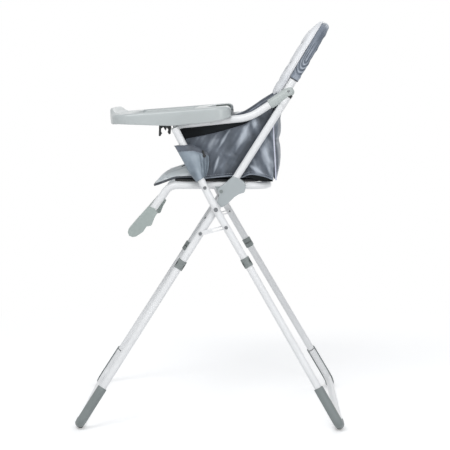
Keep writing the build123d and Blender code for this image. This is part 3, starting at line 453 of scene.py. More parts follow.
def coons(bottom, top, front, rear):
    """Grid of points filling the space between four edge curves, row by row from the bottom."""
    columns = len(bottom)
    rows = len(front)
    grid = []
    for i in range(rows):
        v = i / (rows - 1)
        for j in range(columns):
            u = j / (columns - 1)
            along = bottom[j] * (1 - v) + top[j] * v
            across = front[i] * (1 - u) + rear[i] * u
            corners = (bottom[0] * (1 - u) + bottom[-1] * u) * (1 - v) + (top[0] * (1 - u) + top[-1] * u) * v
            grid.append(along + across - corners)
    return grid


def ridge(x, z, line, width):
    """Share, 0 to 1, of one soft fold along a line of points, fading out at its ends."""
    best = 1e9
    share = 0.0
    runs = len(line) - 1
    for k, ((x0, z0), (x1, z1)) in enumerate(zip(line, line[1:])):
        run_x = x1 - x0
        run_z = z1 - z0
        along = ((x - x0) * run_x + (z - z0) * run_z) / (run_x * run_x + run_z * run_z)
        along = share_between(along)
        distance = hypot(x - x0 - run_x * along, z - z0 - run_z * along)
        if distance < best:
            best = distance
            share = (k + along) / runs
    taper = 0.25 + 0.75 * sin(pi * share)
    return taper * bell(best / (width * taper))


def creases(x, z):
    """Uneven fine creases of slack satin, -1 to 1, drawn out along the pull of the cloth."""
    lean = -0.35 if x > 100 else 0.55
    across = x * cos(lean) - z * sin(lean)
    along = x * sin(lean) + z * cos(lean)
    coarse = wrinkle(across * 0.055, along * 0.017, 3.1)
    fine = wrinkle(across * 0.13, along * 0.03, 7.7)
    return 0.65 * coarse + 0.35 * fine


def turned(middle, wide, other, radius, count):
    """Ring of points round a middle, in the plane of two directions."""
    turns = [2 * pi * s / count for s in range(count)]
    return [middle + (wide * cos(turn) + other * sin(turn)) * radius for turn in turns]


def cord_mesh(name, paths, radius, material, sides=8):
    """Round cords along paths of points, with closed ends, as one mesh."""
    vertices = []
    faces = []
    for points in paths:
        start = len(vertices)
        count = len(points)
        side = Vector((0, 1, 0))
        for k, point in enumerate(points):
            way = (points[min(k + 1, count - 1)] - points[max(k - 1, 0)]).normalized()
            normal = side - way * side.dot(way)
            if normal.length < 1e-4:
                normal = Vector((1, 0, 0)) - way * way.x
            normal.normalize()
            side = normal
            other = way.cross(normal)
            vertices.extend(turned(point, normal, other, radius * MM, sides))
        faces.extend(tuple(start + v for v in face) for face in grid_faces(count, sides, wrap_columns=True))
        faces.append(tuple(start + s for s in reversed(range(sides))))
        faces.append(tuple(start + (count - 1) * sides + s for s in range(sides)))
    return new_object(name, vertices, faces, material)


def on_back(distance, y, ahead):
    """Point on the backrest's plane, moved towards the child by ahead."""
    return at(BACK_ROOT.x + distance * cos(BACK_ANGLE) - ahead * sin(BACK_ANGLE), y,
              BACK_ROOT.z + distance * sin(BACK_ANGLE) + ahead * cos(BACK_ANGLE))


# CAD nodes that stay, with their finish


def dress(names, material, edge=0.0):
    """Gives nodes a material, and round edges of a width where one is given."""
    for name in names:
        node = NODES[name]
        node.data.materials.clear()
        node.data.materials.append(material)
        node.data.shade_smooth()
        if edge:
            soften(node, edge)


def both(name):
    return [f"{name}_{side}" for side in SIDES]


TUBES = both("front_upright") + both("front_leg") + both("rear_upright") + both("rear_leg") + both("armrest")
TUBES += both("seat_rail") + ["front_floor_bar", "rear_floor_bar", "back_hoop", "seat_rear_bar"]
dress(TUBES, WHITE)
dress(both("stay_link"), WHITE, 0.4)
dress(both("seat_bracket") + ["seat_hinges"], BRACKET_GREY, 1.5)
dress(["footrest"], FOOTREST_GREY, 2)
dress(["front_collars", "rear_collars", "rear_plugs", "arm_plugs", "crossing_washers"], COLLAR_GREY, 0.8)
dress(["front_foot_pads", "rear_foot_pads"], RUBBER, 0.8)
dress(["crossing_pins", "stay_rivets", "rear_rivets", "catch_pins", "seat_joiners"], STEEL, 0.6)
dress(["seat_pivot_pins"], COLLAR_GREY, 0.6)
dress(["catch_housings"], TRAY_GREY, 1)
dress(["tray_runners"], RUNNER_WHITE, 1)
dress(both("tray_catch") + ["buckle", "buckle_button"], BLACK, 0.6)
dress(["seat_board", "back_board"], BOARD, 1)


# Pieces built here: shared shapes


def place(obj, body, slot, *nodes):
    """Sets what a piece moves with and hides the CAD nodes that it stands for; slot is not used."""
    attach(obj, body)
    if nodes:
        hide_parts(*nodes)


def side_view_grid(edges, columns, rows):
    """Grid over four edge curves given as (x, z) lists: hem, top, front and rear."""
    return coons(*[side_curve(edge, count) for edge, count in zip(edges, (columns, columns, rows, rows))])


def cloth_sheet(name, grid, columns, rows, side, depth, thickness, material):
    """Closed thin sheet over a side-view grid; depth(x, z) is its distance from the middle plane."""
    points = [at(p.x, side * depth(p.x, p.z), p.z) for p in grid]
    obj = new_object(name, points, grid_faces(rows, columns), material)
    light_up(obj, [fold_light(p.x, p.z) for p in grid])
    thicken(obj, thickness)
    return outward(obj)


STITCH_RADIUS = 0.35
STITCH_SIDES = 5


def stitches(name, path, stitch):
    """Row of short raised stitches, of a pitch and a length, along a path of close points."""
    pitch, length = [size * MM for size in stitch]
    runs = []
    travelled = 0.0
    current = []
    for a, b in zip(path, path[1:]):
        if travelled % pitch < length:
            current.append(a)
        elif len(current) > 1:
            runs.append(current)
            current = []
        travelled += (b - a).length
    return cord_mesh(name, runs, STITCH_RADIUS, THREAD, STITCH_SIDES)


# Rigid pieces that stand for plainer solids

BUTTON_TURNS = 20
BUTTON_DOME = [(0.55, 1.0), (0.82, 0.86), (0.96, 0.55), (1.0, 0.15), (1.0, -0.3)]


def button(name, middle, way, size, material):
    """Round head with a domed top, of a radius and a height, on a surface that faces along way."""
    radius, height = [length * MM for length in size]
    way = way.normalized()
    wide = way.orthogonal().normalized()
    other = way.cross(wide)
    rings = [turned(middle + way * height * rise, wide, other, radius * share, BUTTON_TURNS)
             for share, rise in BUTTON_DOME]
    return lofted(name, rings, material)


FOOT_CORNERS = {
    "front": ((-330.5, 280, 15.5), (-76.3, 197, 414.6)),
    "rear": ((330.5, 280, 15.5), (93.8, 221, 423.8)),
}
SHELL_BEND = 16
SHELL_UP = 110
SHELL_ON_BAR = 50
SHELL_RADII = (12.4, 9.9)
SHELL_HALF_TURN = radians(98)
SHELL_FLOOR = 4.6
SHELL_ARC = 22
SHELL_END = 1.2
SHELL_END_ROUND = 0.9
SHELL_STEPS_DOWN = (0, SHELL_END, 12, 40)
SHELL_BEND_GAPS = (8, 3)
SOLE_UP = 7.5
BEND_STEPS = 14


def bend_stations(corner, leg, bar):
    """Places down a leg, round the bend and along the floor bar, each with its outward direction."""
    half = leg.angle(bar) / 2
    reach = SHELL_BEND / tan(half)
    middle = corner + (leg + bar).normalized() * (SHELL_BEND / sin(half))
    leg_out = -(bar - leg * leg.dot(bar)).normalized()
    bar_out = -(leg - bar * leg.dot(bar)).normalized()
    stations = []
    over_bend, beside_bend = SHELL_BEND_GAPS
    for distance in [SHELL_UP - step for step in SHELL_STEPS_DOWN] + [reach + over_bend]:
        stations.append((corner + leg * distance, leg_out))
    for step in range(BEND_STEPS + 1):
        t = step / BEND_STEPS
        way = leg_out.slerp(bar_out, t)
        stations.append((middle + way * SHELL_BEND, way))
    for distance in (reach + beside_bend, SHELL_ON_BAR - SHELL_END, SHELL_ON_BAR):
        stations.append((corner + bar * distance, bar_out))
    return stations


def make_foot_cover(row, side_name, side):
    """Open half shell clipped on the outside of a floor bar's bend."""
    corner, top = [Vector((x, side * y, z)) for x, y, z in FOOT_CORNERS[row]]
    leg = (top - corner).normalized()
    bar = Vector((0, -side, 0))
    across = leg.cross(bar).normalized()
    stations = bend_stations(corner, leg, bar)
    points = []
    for k, (spot, out) in enumerate(stations):
        end = k in (0, len(stations) - 1)
        for radius, order in zip(SHELL_RADII, (1, -1)):
            size = radius - (SHELL_END_ROUND if end and order > 0 else 0)
            for s in range(SHELL_ARC):
                turn = order * SHELL_HALF_TURN * (2 * s / (SHELL_ARC - 1) - 1)
                point = spot + (out * cos(turn) + across * sin(turn)) * size
                points.append(at(point.x, point.y, max(point.z, SHELL_FLOOR)))
    shell = closed_slab(f"{row}_foot_shell_{side_name}", points, SHELL_ARC, len(stations), FOOT_GREY)
    sharpen(shell)
    second_finish(shell, RUBBER, lambda face: face.center.z < SOLE_UP * MM)
    place(shell, f"{row}_frame", "dark_grey_plastic", f"{row}_foot_covers")


# Tray: a shell with a rounded rim, a sunk well, side skirts and a raised front

TRAY_HALF = 237.4
TRAY_FRONT = -269
TRAY_BOW = 26
TRAY_REAR = 52
TRAY_CUT_HALF = 150
TRAY_CUT_X = -14
TRAY_CORNERS = (42, 34, 13)
TRAY_LEAST_CORNER = 3
TRAY_CUT_CORNER = 50
TRAY_CUT_MOST = 60
TRAY_REAR_ROUND = 12
TRAY_FRONT_RIM = 26
TRAY_RIM_INSETS = (5, 30)
TRAY_BOW_ENDS = (-165, -250)
TRAY_BUMP = 16
TRAY_BUMP_DEPTH = (7, 27)
TRAY_BUMP_HALF = (172, 106)
TRAY_SKIRT = [(-276, -24), (-232, -24), (-150, -33), (-99, -38.5), (-58, -37), (-23, -38), (25, -34),
              (56, -27)]
TRAY_SKIRT_REACH = (62, 18)
TRAY_FLANGE = -18
TRAY_FLANGE_FROM = -60
TRAY_WELL = -9
TRAY_WELL_SIDE = 7
TRAY_SHADE_FROM = 6
TRAY_SHADE_HALF = 152
TRAY_SHADE_FACING = 0.7
TRAY_SHARP = 60
TRAY_STEPS = (14, 20)
TRAY_UNDER = [(5.0, -12.2), (3.6, -13.2)]
TRAY_EDGE = [(3.4, 1.2), (2.4, 0.0), (1.0, 0.0), (0.25, 0.8), (0.0, 2.0)]
TRAY_TOP = [
    (0.0, -14.5), (0.0, -9.0), (0.3, -6.2), (1.1, -3.6), (2.4, -1.6), (4.2, -0.5), (6.6, 0.0),
    (9, 0.1), (12, 0.1), (15, 0.1), (18, 0.1), (21, 0.1), (24, 0.0), (26.5, -0.3), (28.4, -1.2), (29.5, -2.6),
    (30, -4.4), (30.5, -6.4), (31.5, -8.0), (33.4, -8.8), (36.6, -9.0), (37.6, -9.0),
]


def tray_plan(inset):
    """Plan of the tray drawn in by an inset, as points (x, y) with the front edge bowed."""
    half = TRAY_HALF - inset
    front = TRAY_FRONT + inset + TRAY_FRONT_RIM * eased(inset, *TRAY_RIM_INSETS)
    rear = TRAY_REAR - inset
    cut_half = TRAY_CUT_HALF + inset
    cut_x = TRAY_CUT_X - inset
    side = [(front, -half), (rear, -half), (rear, -cut_half), (cut_x, -cut_half)]
    corners = side + [(x, -y) for x, y in reversed(side)]
    radii = [max(TRAY_LEAST_CORNER, corner - inset) for corner in TRAY_CORNERS]
    radii.append(min(TRAY_CUT_MOST, TRAY_CUT_CORNER + inset))
    ring = rounded_ring(corners, radii + radii[::-1], *TRAY_STEPS)
    return [(p.x + tray_bow(p.x, p.y), p.y) for p in ring]


def tray_bow(x, y):
    return TRAY_BOW * (y / TRAY_HALF) ** 2 * eased(x, *TRAY_BOW_ENDS)


def tray_bottom(x, y):
    """Height of the tray's lower edge: a skirt outside, a short flange round the cut."""
    if x < TRAY_FLANGE_FROM:
        return along_line(x, TRAY_SKIRT)
    outer = eased(TRAY_HALF - abs(y), *TRAY_SKIRT_REACH)
    return TRAY_FLANGE + (along_line(x, TRAY_SKIRT) - TRAY_FLANGE) * outer


def tray_rise(x, y):
    """Height that the raised front adds."""
    behind = x - TRAY_FRONT - tray_bow(x, y)
    return TRAY_BUMP * eased(abs(y), *TRAY_BUMP_HALF) * (1 - eased(behind, *TRAY_BUMP_DEPTH))


def rear_drop(x):
    """Rounding of the tray's top at the ends of its arms."""
    left = max(0.0, TRAY_REAR - x)
    if left >= TRAY_REAR_ROUND:
        return 0.0
    return TRAY_REAR_ROUND - sqrt(TRAY_REAR_ROUND ** 2 - (TRAY_REAR_ROUND - left) ** 2)


def tray_point(x, y, z):
    """Point given in the tray's own tilted frame."""
    return at(x * cos(TRAY_ANGLE) - z * sin(TRAY_ANGLE), y,
              TRAY_Z + x * sin(TRAY_ANGLE) + z * cos(TRAY_ANGLE))


def in_tray_cut(face):
    """Whether a face lies on the side of the cut in front of the child; those faces take a dark grey as
    painted shade.
    """
    inner = abs(face.center.y) < TRAY_SHADE_HALF * MM and face.center.x > TRAY_SHADE_FROM * MM
    return inner and abs(face.normal.y) > TRAY_SHADE_FACING


def make_tray():
    rings = []
    for inset, z in TRAY_UNDER:
        rings.append([tray_point(x, y, z) for x, y in tray_plan(inset)])
    for inset, up in TRAY_EDGE:
        rings.append([tray_point(x, y, tray_bottom(x, y) + up) for x, y in tray_plan(inset)])
    for inset, z in TRAY_TOP:
        ring = []
        for x, y in tray_plan(inset):
            share = eased(z, TRAY_WELL, TRAY_WELL + TRAY_WELL_SIDE)
            ring.append(tray_point(x, y, min(z, -rear_drop(x)) + tray_rise(x, y) * share))
        rings.append(ring)
    tray = lofted("tray_top", rings, TRAY_GREY, fans=False)
    sharpen(tray, TRAY_SHARP)
    # Painted shade: the arms' inner walls round the cut take the dark grey
    second_finish(tray, SHADE_GREY, in_tray_cut)
    place(tray, "tray", "tray_plastic", "tray_shell")


# Back joints: a sleeve in line with the armrest, with a rounded nose, a rivet and the upright's end plug

JOINT_WAY = Vector((0.8372, 0, 0.547))
JOINT_STATIONS = [
    (-1.0, 10.2), (0, 11.6), (1.2, 12.2), (14, 12.4), (30, 12.7), (46, 13.2), (56, 13.2), (62, 12.4),
    (66.4, 10.6), (69.2, 7.6), (70.6, 3.6),
]
JOINT_START = Vector((151.5, 0, 823.8))
JOINT_TURNS = 36
JOINT_FLAT = 0.98
RIVET_AT = (198.5, 857)
RIVET_OUT = 12.9
RIVET_SIZE = (3.2, 1.4)
NECK_STOPS = (308, 320, 339)
PLUG_STOPS = (337, 341, 345)
PLUG_RADIUS = 9.9
TUBE_SIDES = 32


def on_front(distance, y):
    """Point on a front upright's axis, at a distance up from the crossing."""
    return at(PIVOT.x + distance * cos(FRONT_ANGLE), y, PIVOT.z + distance * sin(FRONT_ANGLE))


def make_back_joint(side_name, side):
    y = side * FRONT_Y
    across = Vector((0, 1, 0))
    up = JOINT_WAY.cross(across)
    rings = []
    for distance, radius in JOINT_STATIONS:
        middle = JOINT_START + JOINT_WAY * distance + Vector((0, y, 0))
        rings.append([p * MM for p in turned(middle, across * JOINT_FLAT, up, radius, JOINT_TURNS)])
    joint = lofted(f"back_sleeve_{side_name}", rings, JOINT_GREY)
    sharpen(joint)
    place(joint, "front_frame", "grey_plastic", f"back_joint_{side_name}")
    x, z = RIVET_AT
    head = at(x, y + side * RIVET_OUT, z)
    rivet = button(f"back_rivet_{side_name}", head, Vector((0, side, 0)), RIVET_SIZE, STEEL)
    place(rivet, "front_frame", "steel")
    path = [on_front(distance, y) for distance in NECK_STOPS]
    neck = cord_mesh(f"upright_neck_{side_name}", [path], TUBE_RADIUS, WHITE, TUBE_SIDES)
    place(neck, "front_frame", "white_tube")
    path = [on_front(distance, y) for distance in PLUG_STOPS]
    plug = cord_mesh(f"upright_plug_{side_name}", [path], PLUG_RADIUS, BLACK, TUBE_SIDES)
    place(plug, "front_frame", "black_plastic")


# Side panels: a slack outer layer over a lining that reaches the armrest; the lining is near-black below the
# armrest, painted shade for the seat's shadowed inside

PANEL_HEM = [(-46, 640), (-20, 636), (0, 637), (56, 642), (76, 637), (102, 646), (136, 641), (161, 632)]
PANEL_TOP = [(-62, 735), (14, 751), (60, 764), (92, 775), (124, 797), (150, 815), (160, 824)]
PANEL_FRONT = [(-46, 640), (-58, 662), (-66, 694), (-62, 735)]
PANEL_REAR = [(161, 632), (163, 700), (160, 760), (160, 824)]
PANEL_FOLDS = [
    ([(98, 776), (87, 756), (76, 730), (65, 701)], 11, 6.0),
    ([(51, 762), (36, 738), (23, 714)], 5.5, 5.0),
    ([(16, 749), (1, 723), (-5, 712)], 6, 2.5),
    ([(22, 692), (16, 672), (8, 646)], 4.5, 6.0),
    ([(34, 697), (52, 694), (64, 690)], 7, 2.0),
    ([(115, 789), (110, 762)], 8, 4.0),
    ([(137, 753), (141, 723), (146, 686), (152, 644)], 9, 4.6),
    ([(95, 673), (115, 659), (139, 645)], 6, 6.0),
    ([(40, 676), (34, 660), (30, 646)], 8, 2.0),
]
FULL_FOLD = 5.5
PANEL_GRID = (110, 84)
PANEL_THICK = 0.9
PANEL_DEPTH = 184.6
PANEL_SLACK = 1.6
PANEL_TUBE_ROOM = 1.4
UPRIGHT_ROOM = (10, 22)
LINING_GRID = (60, 40)
LINING_THICK = 0.7
LINING_DEPTH = 183.4
LINING_TOP_LEAN = 5.5
LINING_TOP_XS = (100, 140)
LINING_TOP_ZS = (770, 810)
LINING_REAR_LEAN = 4.5
LINING_REAR_XS = (140, 156)
LINING_FACING = 0.3
LINING_TOP = [(-82, 761), (-30, 769), (30, 781), (76, 795), (107, 813), (133, 831), (170, 854)]
LINING_REAR = [(160, 627), (161, 700), (161, 780), (170, 854)]
LINING_FRONT = [(-46, 644), (-60, 670), (-74, 712), (-82, 761)]
LINING_HEM = [(-46, 644), (20, 645), (84, 645), (106, 634), (128, 628), (160, 627)]
PIPING_LINE = [(160, 786), (162, 740), (165, 690), (168, 631)]
PIPING_RADIUS = 1.9
PIPING_OUT = 1.2
HEM_RADIUS = 1.5
HEM_STITCH_UP = 6
HEM_STITCH = (4.5, 3)
STITCH_OUT = 0.5
EDGE_POINTS = 120
SEWN_POINTS = 400
TOP_EDGE_RADIUS = 1.1
ARM_BEND = (101, 790.5)
ARM_LOW_SLOPE = 0.103
ARM_HIGH_SLOPE = 0.6527


def clear_of_upright(x, z):
    """0 beside the front upright, rising to 1 away from it."""
    away = abs((x - PIVOT.x) * sin(FRONT_ANGLE) - (z - PIVOT.z) * cos(FRONT_ANGLE))
    return share_between(away, *UPRIGHT_ROOM)


def panel_depth(x, z):
    """Distance of the outer layer from the middle plane: soft folds, held flat beside the upright."""
    folds = sum(height * ridge(x, z, line, width) for line, width, height in PANEL_FOLDS)
    loose = PANEL_SLACK + PANEL_SLACK * creases(x, z)
    free = clear_of_upright(x, z)
    return PANEL_DEPTH + (folds + loose) * free + min(folds, PANEL_TUBE_ROOM) * (1 - free)


def lining_depth(x, z):
    """The lining leans in at its rear, on to the lower back, and at its rear top, inside the back joint."""
    at_top = LINING_TOP_LEAN * share_between(x, *LINING_TOP_XS) * share_between(z, *LINING_TOP_ZS)
    at_rear = LINING_REAR_LEAN * eased(x, *LINING_REAR_XS)
    return LINING_DEPTH - max(at_top, at_rear)


def fold_light(x, z):
    """Painted light and shade of the satin at a point: painted highlights on the fold crests, painted shade
    in the hollows beside them and painted shadow beside the upright.
    """
    painted_light = sum(ridge(x, z, line, width * 0.9) * height / FULL_FOLD for line, width, height in PANEL_FOLDS)
    upright_shadow = 1 - clear_of_upright(x + 10, z)
    return 0.44 + 0.38 * min(1.15, painted_light) + 0.4 * creases(x, z) - 0.24 * upright_shadow


def panel_line(line, side, out, count):
    """Points along a side-view line on the panel's outer layer, moved outwards by out."""
    return [at(p.x, side * (panel_depth(p.x, p.z) + out), p.z) for p in side_curve(line, count)]


def arm_line(x):
    """Height of the armrest's axis in side view."""
    slope = ARM_LOW_SLOPE if x < ARM_BEND[0] else ARM_HIGH_SLOPE
    return ARM_BEND[1] + (x - ARM_BEND[0]) * slope


def over_arm(face):
    """Whether a face lies above the armrest's axis."""
    return face.center.z / MM > arm_line(face.center.x / MM)


def make_side_panel(side_name, side):
    grid = side_view_grid((PANEL_HEM, PANEL_TOP, PANEL_FRONT, PANEL_REAR), *PANEL_GRID)
    panel = cloth_sheet(f"panel_{side_name}", grid, *PANEL_GRID, side, panel_depth, PANEL_THICK, PAINTED_FOLD_SLATE)
    place(panel, "front_frame", "slate_cloth", f"side_panel_{side_name}")
    grid = side_view_grid((LINING_HEM, LINING_TOP, LINING_FRONT, LINING_REAR), *LINING_GRID)
    lining = cloth_sheet(f"panel_lining_{side_name}", grid, *LINING_GRID, side, lining_depth, LINING_THICK,
                         SHADE_LINING)
    # Painted shade: only the lining's outer side below the armrest keeps the near-black cloth
    second_finish(lining, SLATE, lambda face: over_arm(face) or face.normal.y * side < -LINING_FACING)
    place(lining, "front_frame", "slate_cloth")
    trims = []
    for name, line, out, radius, material in (
        ("piping", PIPING_LINE, PIPING_OUT, PIPING_RADIUS, PIPING),
        ("hem", PANEL_HEM, 0, HEM_RADIUS, HEM_SLATE),
        ("top", PANEL_TOP, 0, TOP_EDGE_RADIUS, SLATE),
    ):
        edge = panel_line(line, side, out, EDGE_POINTS)
        trims.append(cord_mesh(f"panel_{name}_{side_name}", [edge], radius, material))
    over_hem = [(x, z + HEM_STITCH_UP) for x, z in PANEL_HEM]
    sewn = panel_line(over_hem, side, STITCH_OUT, SEWN_POINTS)
    trims.append(stitches(f"panel_stitches_{side_name}", sewn, HEM_STITCH))
    for trim in trims:
        place(trim, "front_frame", "slate_cloth")


# Lower back: a stuffed wall with sewn channels, drawn in at its sides

LOWER_BACK_OUTER = [(198, 845), (191, 826), (185, 810), (178, 789), (179, 770), (178, 748), (173, 731),
                    (178, 706), (178, 672), (170, 634)]
LOWER_BACK_INNER = [(176, 845), (160, 828), (146, 800), (140, 789), (135, 760), (138, 731), (134, 712),
                    (152, 672), (162, 634)]
LOWER_BACK_HALF = 182.0
LOWER_BACK_SEAMS = (731, 789)
LOWER_BACK_ROWS = 90
LOWER_BACK_COLUMNS = 121
LOWER_BACK_CORE = 0.38
LOWER_BACK_EDGE = 0.35
# Of the rear and the front face: how far aside its wrinkles lie, its crown and its slack
LOWER_BACK_FACES = ((0, 3.0, 2.2), (50, 0.0, 1.6))


def near_seams(z, seams, width):
    """1 at each of the sewn lines, fading out over a width."""
    return sum(bell((z - seam) / width) for seam in seams)


def wall_crease(y, z):
    """Wrinkles of the lower back, -1 to 1: slack drapes, tighter puckers along the sewn lines."""
    drape = wrinkle(y * 0.028, z * 0.011, 1.7)
    sewn = near_seams(z, LOWER_BACK_SEAMS, 14)
    pucker = wrinkle(y * 0.12, z * 0.035, 5.2)
    return 0.6 * drape + (0.25 + 0.75 * min(1.0, sewn)) * 0.7 * pucker


def wall_light(z, slack):
    """Painted light and shade of the lower back: painted shade in the sewn lines, painted highlights on the
    drapes.
    """
    return 0.46 + 0.55 * slack - 0.25 * near_seams(z, LOWER_BACK_SEAMS, 3)


def make_lower_back():
    outer = side_curve(LOWER_BACK_OUTER, LOWER_BACK_ROWS)
    inner = side_curve(LOWER_BACK_INNER, LOWER_BACK_ROWS)
    core = [back * (1 - LOWER_BACK_CORE) + front * LOWER_BACK_CORE for back, front in zip(outer, inner)]
    points = []
    lights = []
    for j in range(LOWER_BACK_COLUMNS):
        u = 2 * j / (LOWER_BACK_COLUMNS - 1) - 1
        full = LOWER_BACK_EDGE + (1 - LOWER_BACK_EDGE) * sqrt(max(0.0, 1 - abs(u) ** 5))
        y = u * LOWER_BACK_HALF
        rear = zip(outer, core)
        front = reversed(list(zip(inner, core)))
        for face, (aside, crown, loose) in zip((rear, front), LOWER_BACK_FACES):
            for edge, middle in face:
                slack = wall_crease(y + aside, edge.z)
                lights.append(wall_light(edge.z, slack))
                spot = middle + (edge - middle) * full
                points.append(at(spot.x + crown * (1 - u * u) + loose * slack * full, y, spot.z))
    pad = closed_slab("lower_back_pad", points, LOWER_BACK_ROWS, LOWER_BACK_COLUMNS, PAINTED_FOLD_SLATE)
    light_up(pad, lights)
    place(pad, "front_frame", "slate_cloth", "lower_back")


# Seat pad: a stuffed cloth bag that droops over the front of its board, with a binding round its lower edge

SEAT_TOP_LINE = [(120, 660), (60, 664), (0, 665), (-40, 661), (-71, 651), (-90, 645), (-121, 635.5),
                 (-141, 630), (-148, 620)]
SEAT_UNDER_LINE = [(122, 634), (60, 634), (0, 634), (-60, 633.5), (-92, 632.5), (-118, 622.5), (-147, 610)]
UNDER_BY_DEPTH = [(-x, z) for x, z in SEAT_UNDER_LINE]
SEAT_ROWS = 60
SEAT_COLUMNS = 71
SEAT_HALF = 172
SEAT_DRAW = 4
SEAT_EDGE_SHARE = 0.8
SEAT_CORNER = 28
SEAT_FRONT = -147
SEAT_VOXEL = 5
SEAT_PRESSURE = 4.0
SEAT_SWELL = 6
SWELL_STEPS = 20
BINDING_RADIUS = 3.2
BINDING_SIDES = 10
BINDING_POINTS = 180
BINDING_UP = 3.5
BINDING_FRONT_UP = 617
BINDING_CORNER = (-108, 132)
BINDING_CORNER_REACH = 36
BINDING_CORNER_STEPS = 8
BINDING_SIDE_XS = range(110, -111, -15)
BINDING_FRONT_YS = range(-120, 1, 20)
RAY_START = 400


def seat_half(x, share):
    """Half width of the pad: pulled in between its corners, which are round at the front."""
    into_corner = min(SEAT_CORNER, max(0.0, SEAT_FRONT + SEAT_CORNER - x))
    rounded = SEAT_CORNER - sqrt(SEAT_CORNER ** 2 - into_corner ** 2)
    return SEAT_HALF - SEAT_DRAW * sin(pi * share) - rounded


def seat_bag():
    """Closed bag between the pad's top and under lines, thinner at its sides."""
    top = side_curve(SEAT_TOP_LINE, SEAT_ROWS)
    under = side_curve(SEAT_UNDER_LINE, SEAT_ROWS)
    shares = [row / (SEAT_ROWS - 1) for row in range(SEAT_ROWS)]
    points = []
    for j in range(SEAT_COLUMNS):
        u = 2 * j / (SEAT_COLUMNS - 1) - 1
        full = SEAT_EDGE_SHARE + (1 - SEAT_EDGE_SHARE) * sqrt(max(0.0, 1 - abs(u) ** 3))
        for high, low, share in zip(top, under, shares):
            points.append(at(high.x, u * seat_half(high.x, share), low.z + (high.z - low.z) * full))
        for low, share in reversed(list(zip(under, shares))):
            points.append(at(low.x, u * seat_half(low.x, share), low.z))
    return closed_slab("seat_cushion", points, SEAT_ROWS, SEAT_COLUMNS, PAD_SLATE)


def smooth_out(obj, iterations):
    smooth = obj.modifiers.new("smooth", "SMOOTH")
    smooth.iterations = iterations
    apply_modifiers(obj)


def swell(obj):
    """Blows a bag up as stuffed cloth that rests on its board, each point moving by the swell at most."""
    start = [v.co.copy() for v in obj.data.vertices]
    group = obj.vertex_groups.new(name="held")
    group.add([v.index for v in obj.data.vertices if v.normal.z < -0.8], 1.0, "REPLACE")
    cloth = obj.modifiers.new("cloth", "CLOTH")
    settings = {"quality": 6, "mass": 0.2, "tension_stiffness": 12, "compression_stiffness": 12,
                "bending_stiffness": 0.4, "use_pressure": True, "uniform_pressure_force": SEAT_PRESSURE,
                "vertex_group_mass": "held"}
    for key, value in settings.items():
        setattr(cloth.settings, key, value)
    cloth.settings.effector_weights.gravity = 0
    cloth.collision_settings.use_collision = False
    scene = bpy.context.scene
    for step in range(1, SWELL_STEPS + 1):
        scene.frame_set(step)
    apply_modifiers(obj)
    scene.frame_set(1)
    for vertex, rest in zip(obj.data.vertices, start):
        moved = vertex.co - rest
        if moved.length > SEAT_SWELL * MM:
            vertex.co = rest + moved * (SEAT_SWELL * MM / moved.length)
    obj.vertex_groups.clear()


def inflate(obj):
    """Remeshes the seat bag evenly and stuffs it."""
    remesh = obj.modifiers.new("remesh", "REMESH")
    remesh.mode = "VOXEL"
    remesh.voxel_size = SEAT_VOXEL * MM
    smooth_out(obj, 3)
    swell(obj)
    smooth_out(obj, 2)
    subdivide(obj, 1)


def seat_light(normal, co):
    """Painted light and shade of the pad: a painted highlight on its rounded edge, painted shadow of the tray
    on its top, and random tone.
    """
    edge = eased(hypot(normal.x, normal.y), 0.15, 0.5)
    return 0.42 + 0.44 * edge + 0.3 * noise.noise(co * 22)


def make_seat_pad():
    pad = seat_bag()
    inflate(pad)
    light_up(pad, [seat_light(v.normal, v.co) for v in pad.data.vertices])
    place(pad, "seat", "slate_cloth", "seat_pad")
    mesh = pad.data
    tree = BVHTree.FromPolygons([v.co for v in mesh.vertices], [p.vertices for p in mesh.polygons])
    path = through(seat_edge(tree), BINDING_POINTS)
    binding = cord_mesh("seat_binding", [path], BINDING_RADIUS, EDGE_SLATE, BINDING_SIDES)
    place(binding, "seat", "slate_cloth")
    return tree


def seat_edge(tree):
    """Points round the pad's lower edge from its rear left to its rear right, found on its surface."""
    left = [(Vector((x, -RAY_START, along_line(-x, UNDER_BY_DEPTH) + BINDING_UP)), Vector((0, 1, 0)))
            for x in BINDING_SIDE_XS]
    corner_x, corner_y = BINDING_CORNER
    for step in range(1, BINDING_CORNER_STEPS):
        turn = pi / 2 * step / BINDING_CORNER_STEPS
        inward = Vector((sin(turn), cos(turn), 0))
        z = along_line(BINDING_CORNER_REACH * sin(turn) - corner_x, UNDER_BY_DEPTH) + BINDING_UP
        left.append((Vector((corner_x, -corner_y, z)) - inward * RAY_START, inward))
    for y in BINDING_FRONT_YS:
        left.append((Vector((-RAY_START, y, BINDING_FRONT_UP)), Vector((1, 0, 0))))
    right = [(Vector((p.x, -p.y, p.z)), Vector((way.x, -way.y, 0))) for p, way in reversed(left[:-1])]
    hits = [tree.ray_cast(p * MM, way)[0] for p, way in left + right]
    return [hit for hit in hits if hit]


# Backrest: a cloth bag over the hoop and a pale pad in front of it

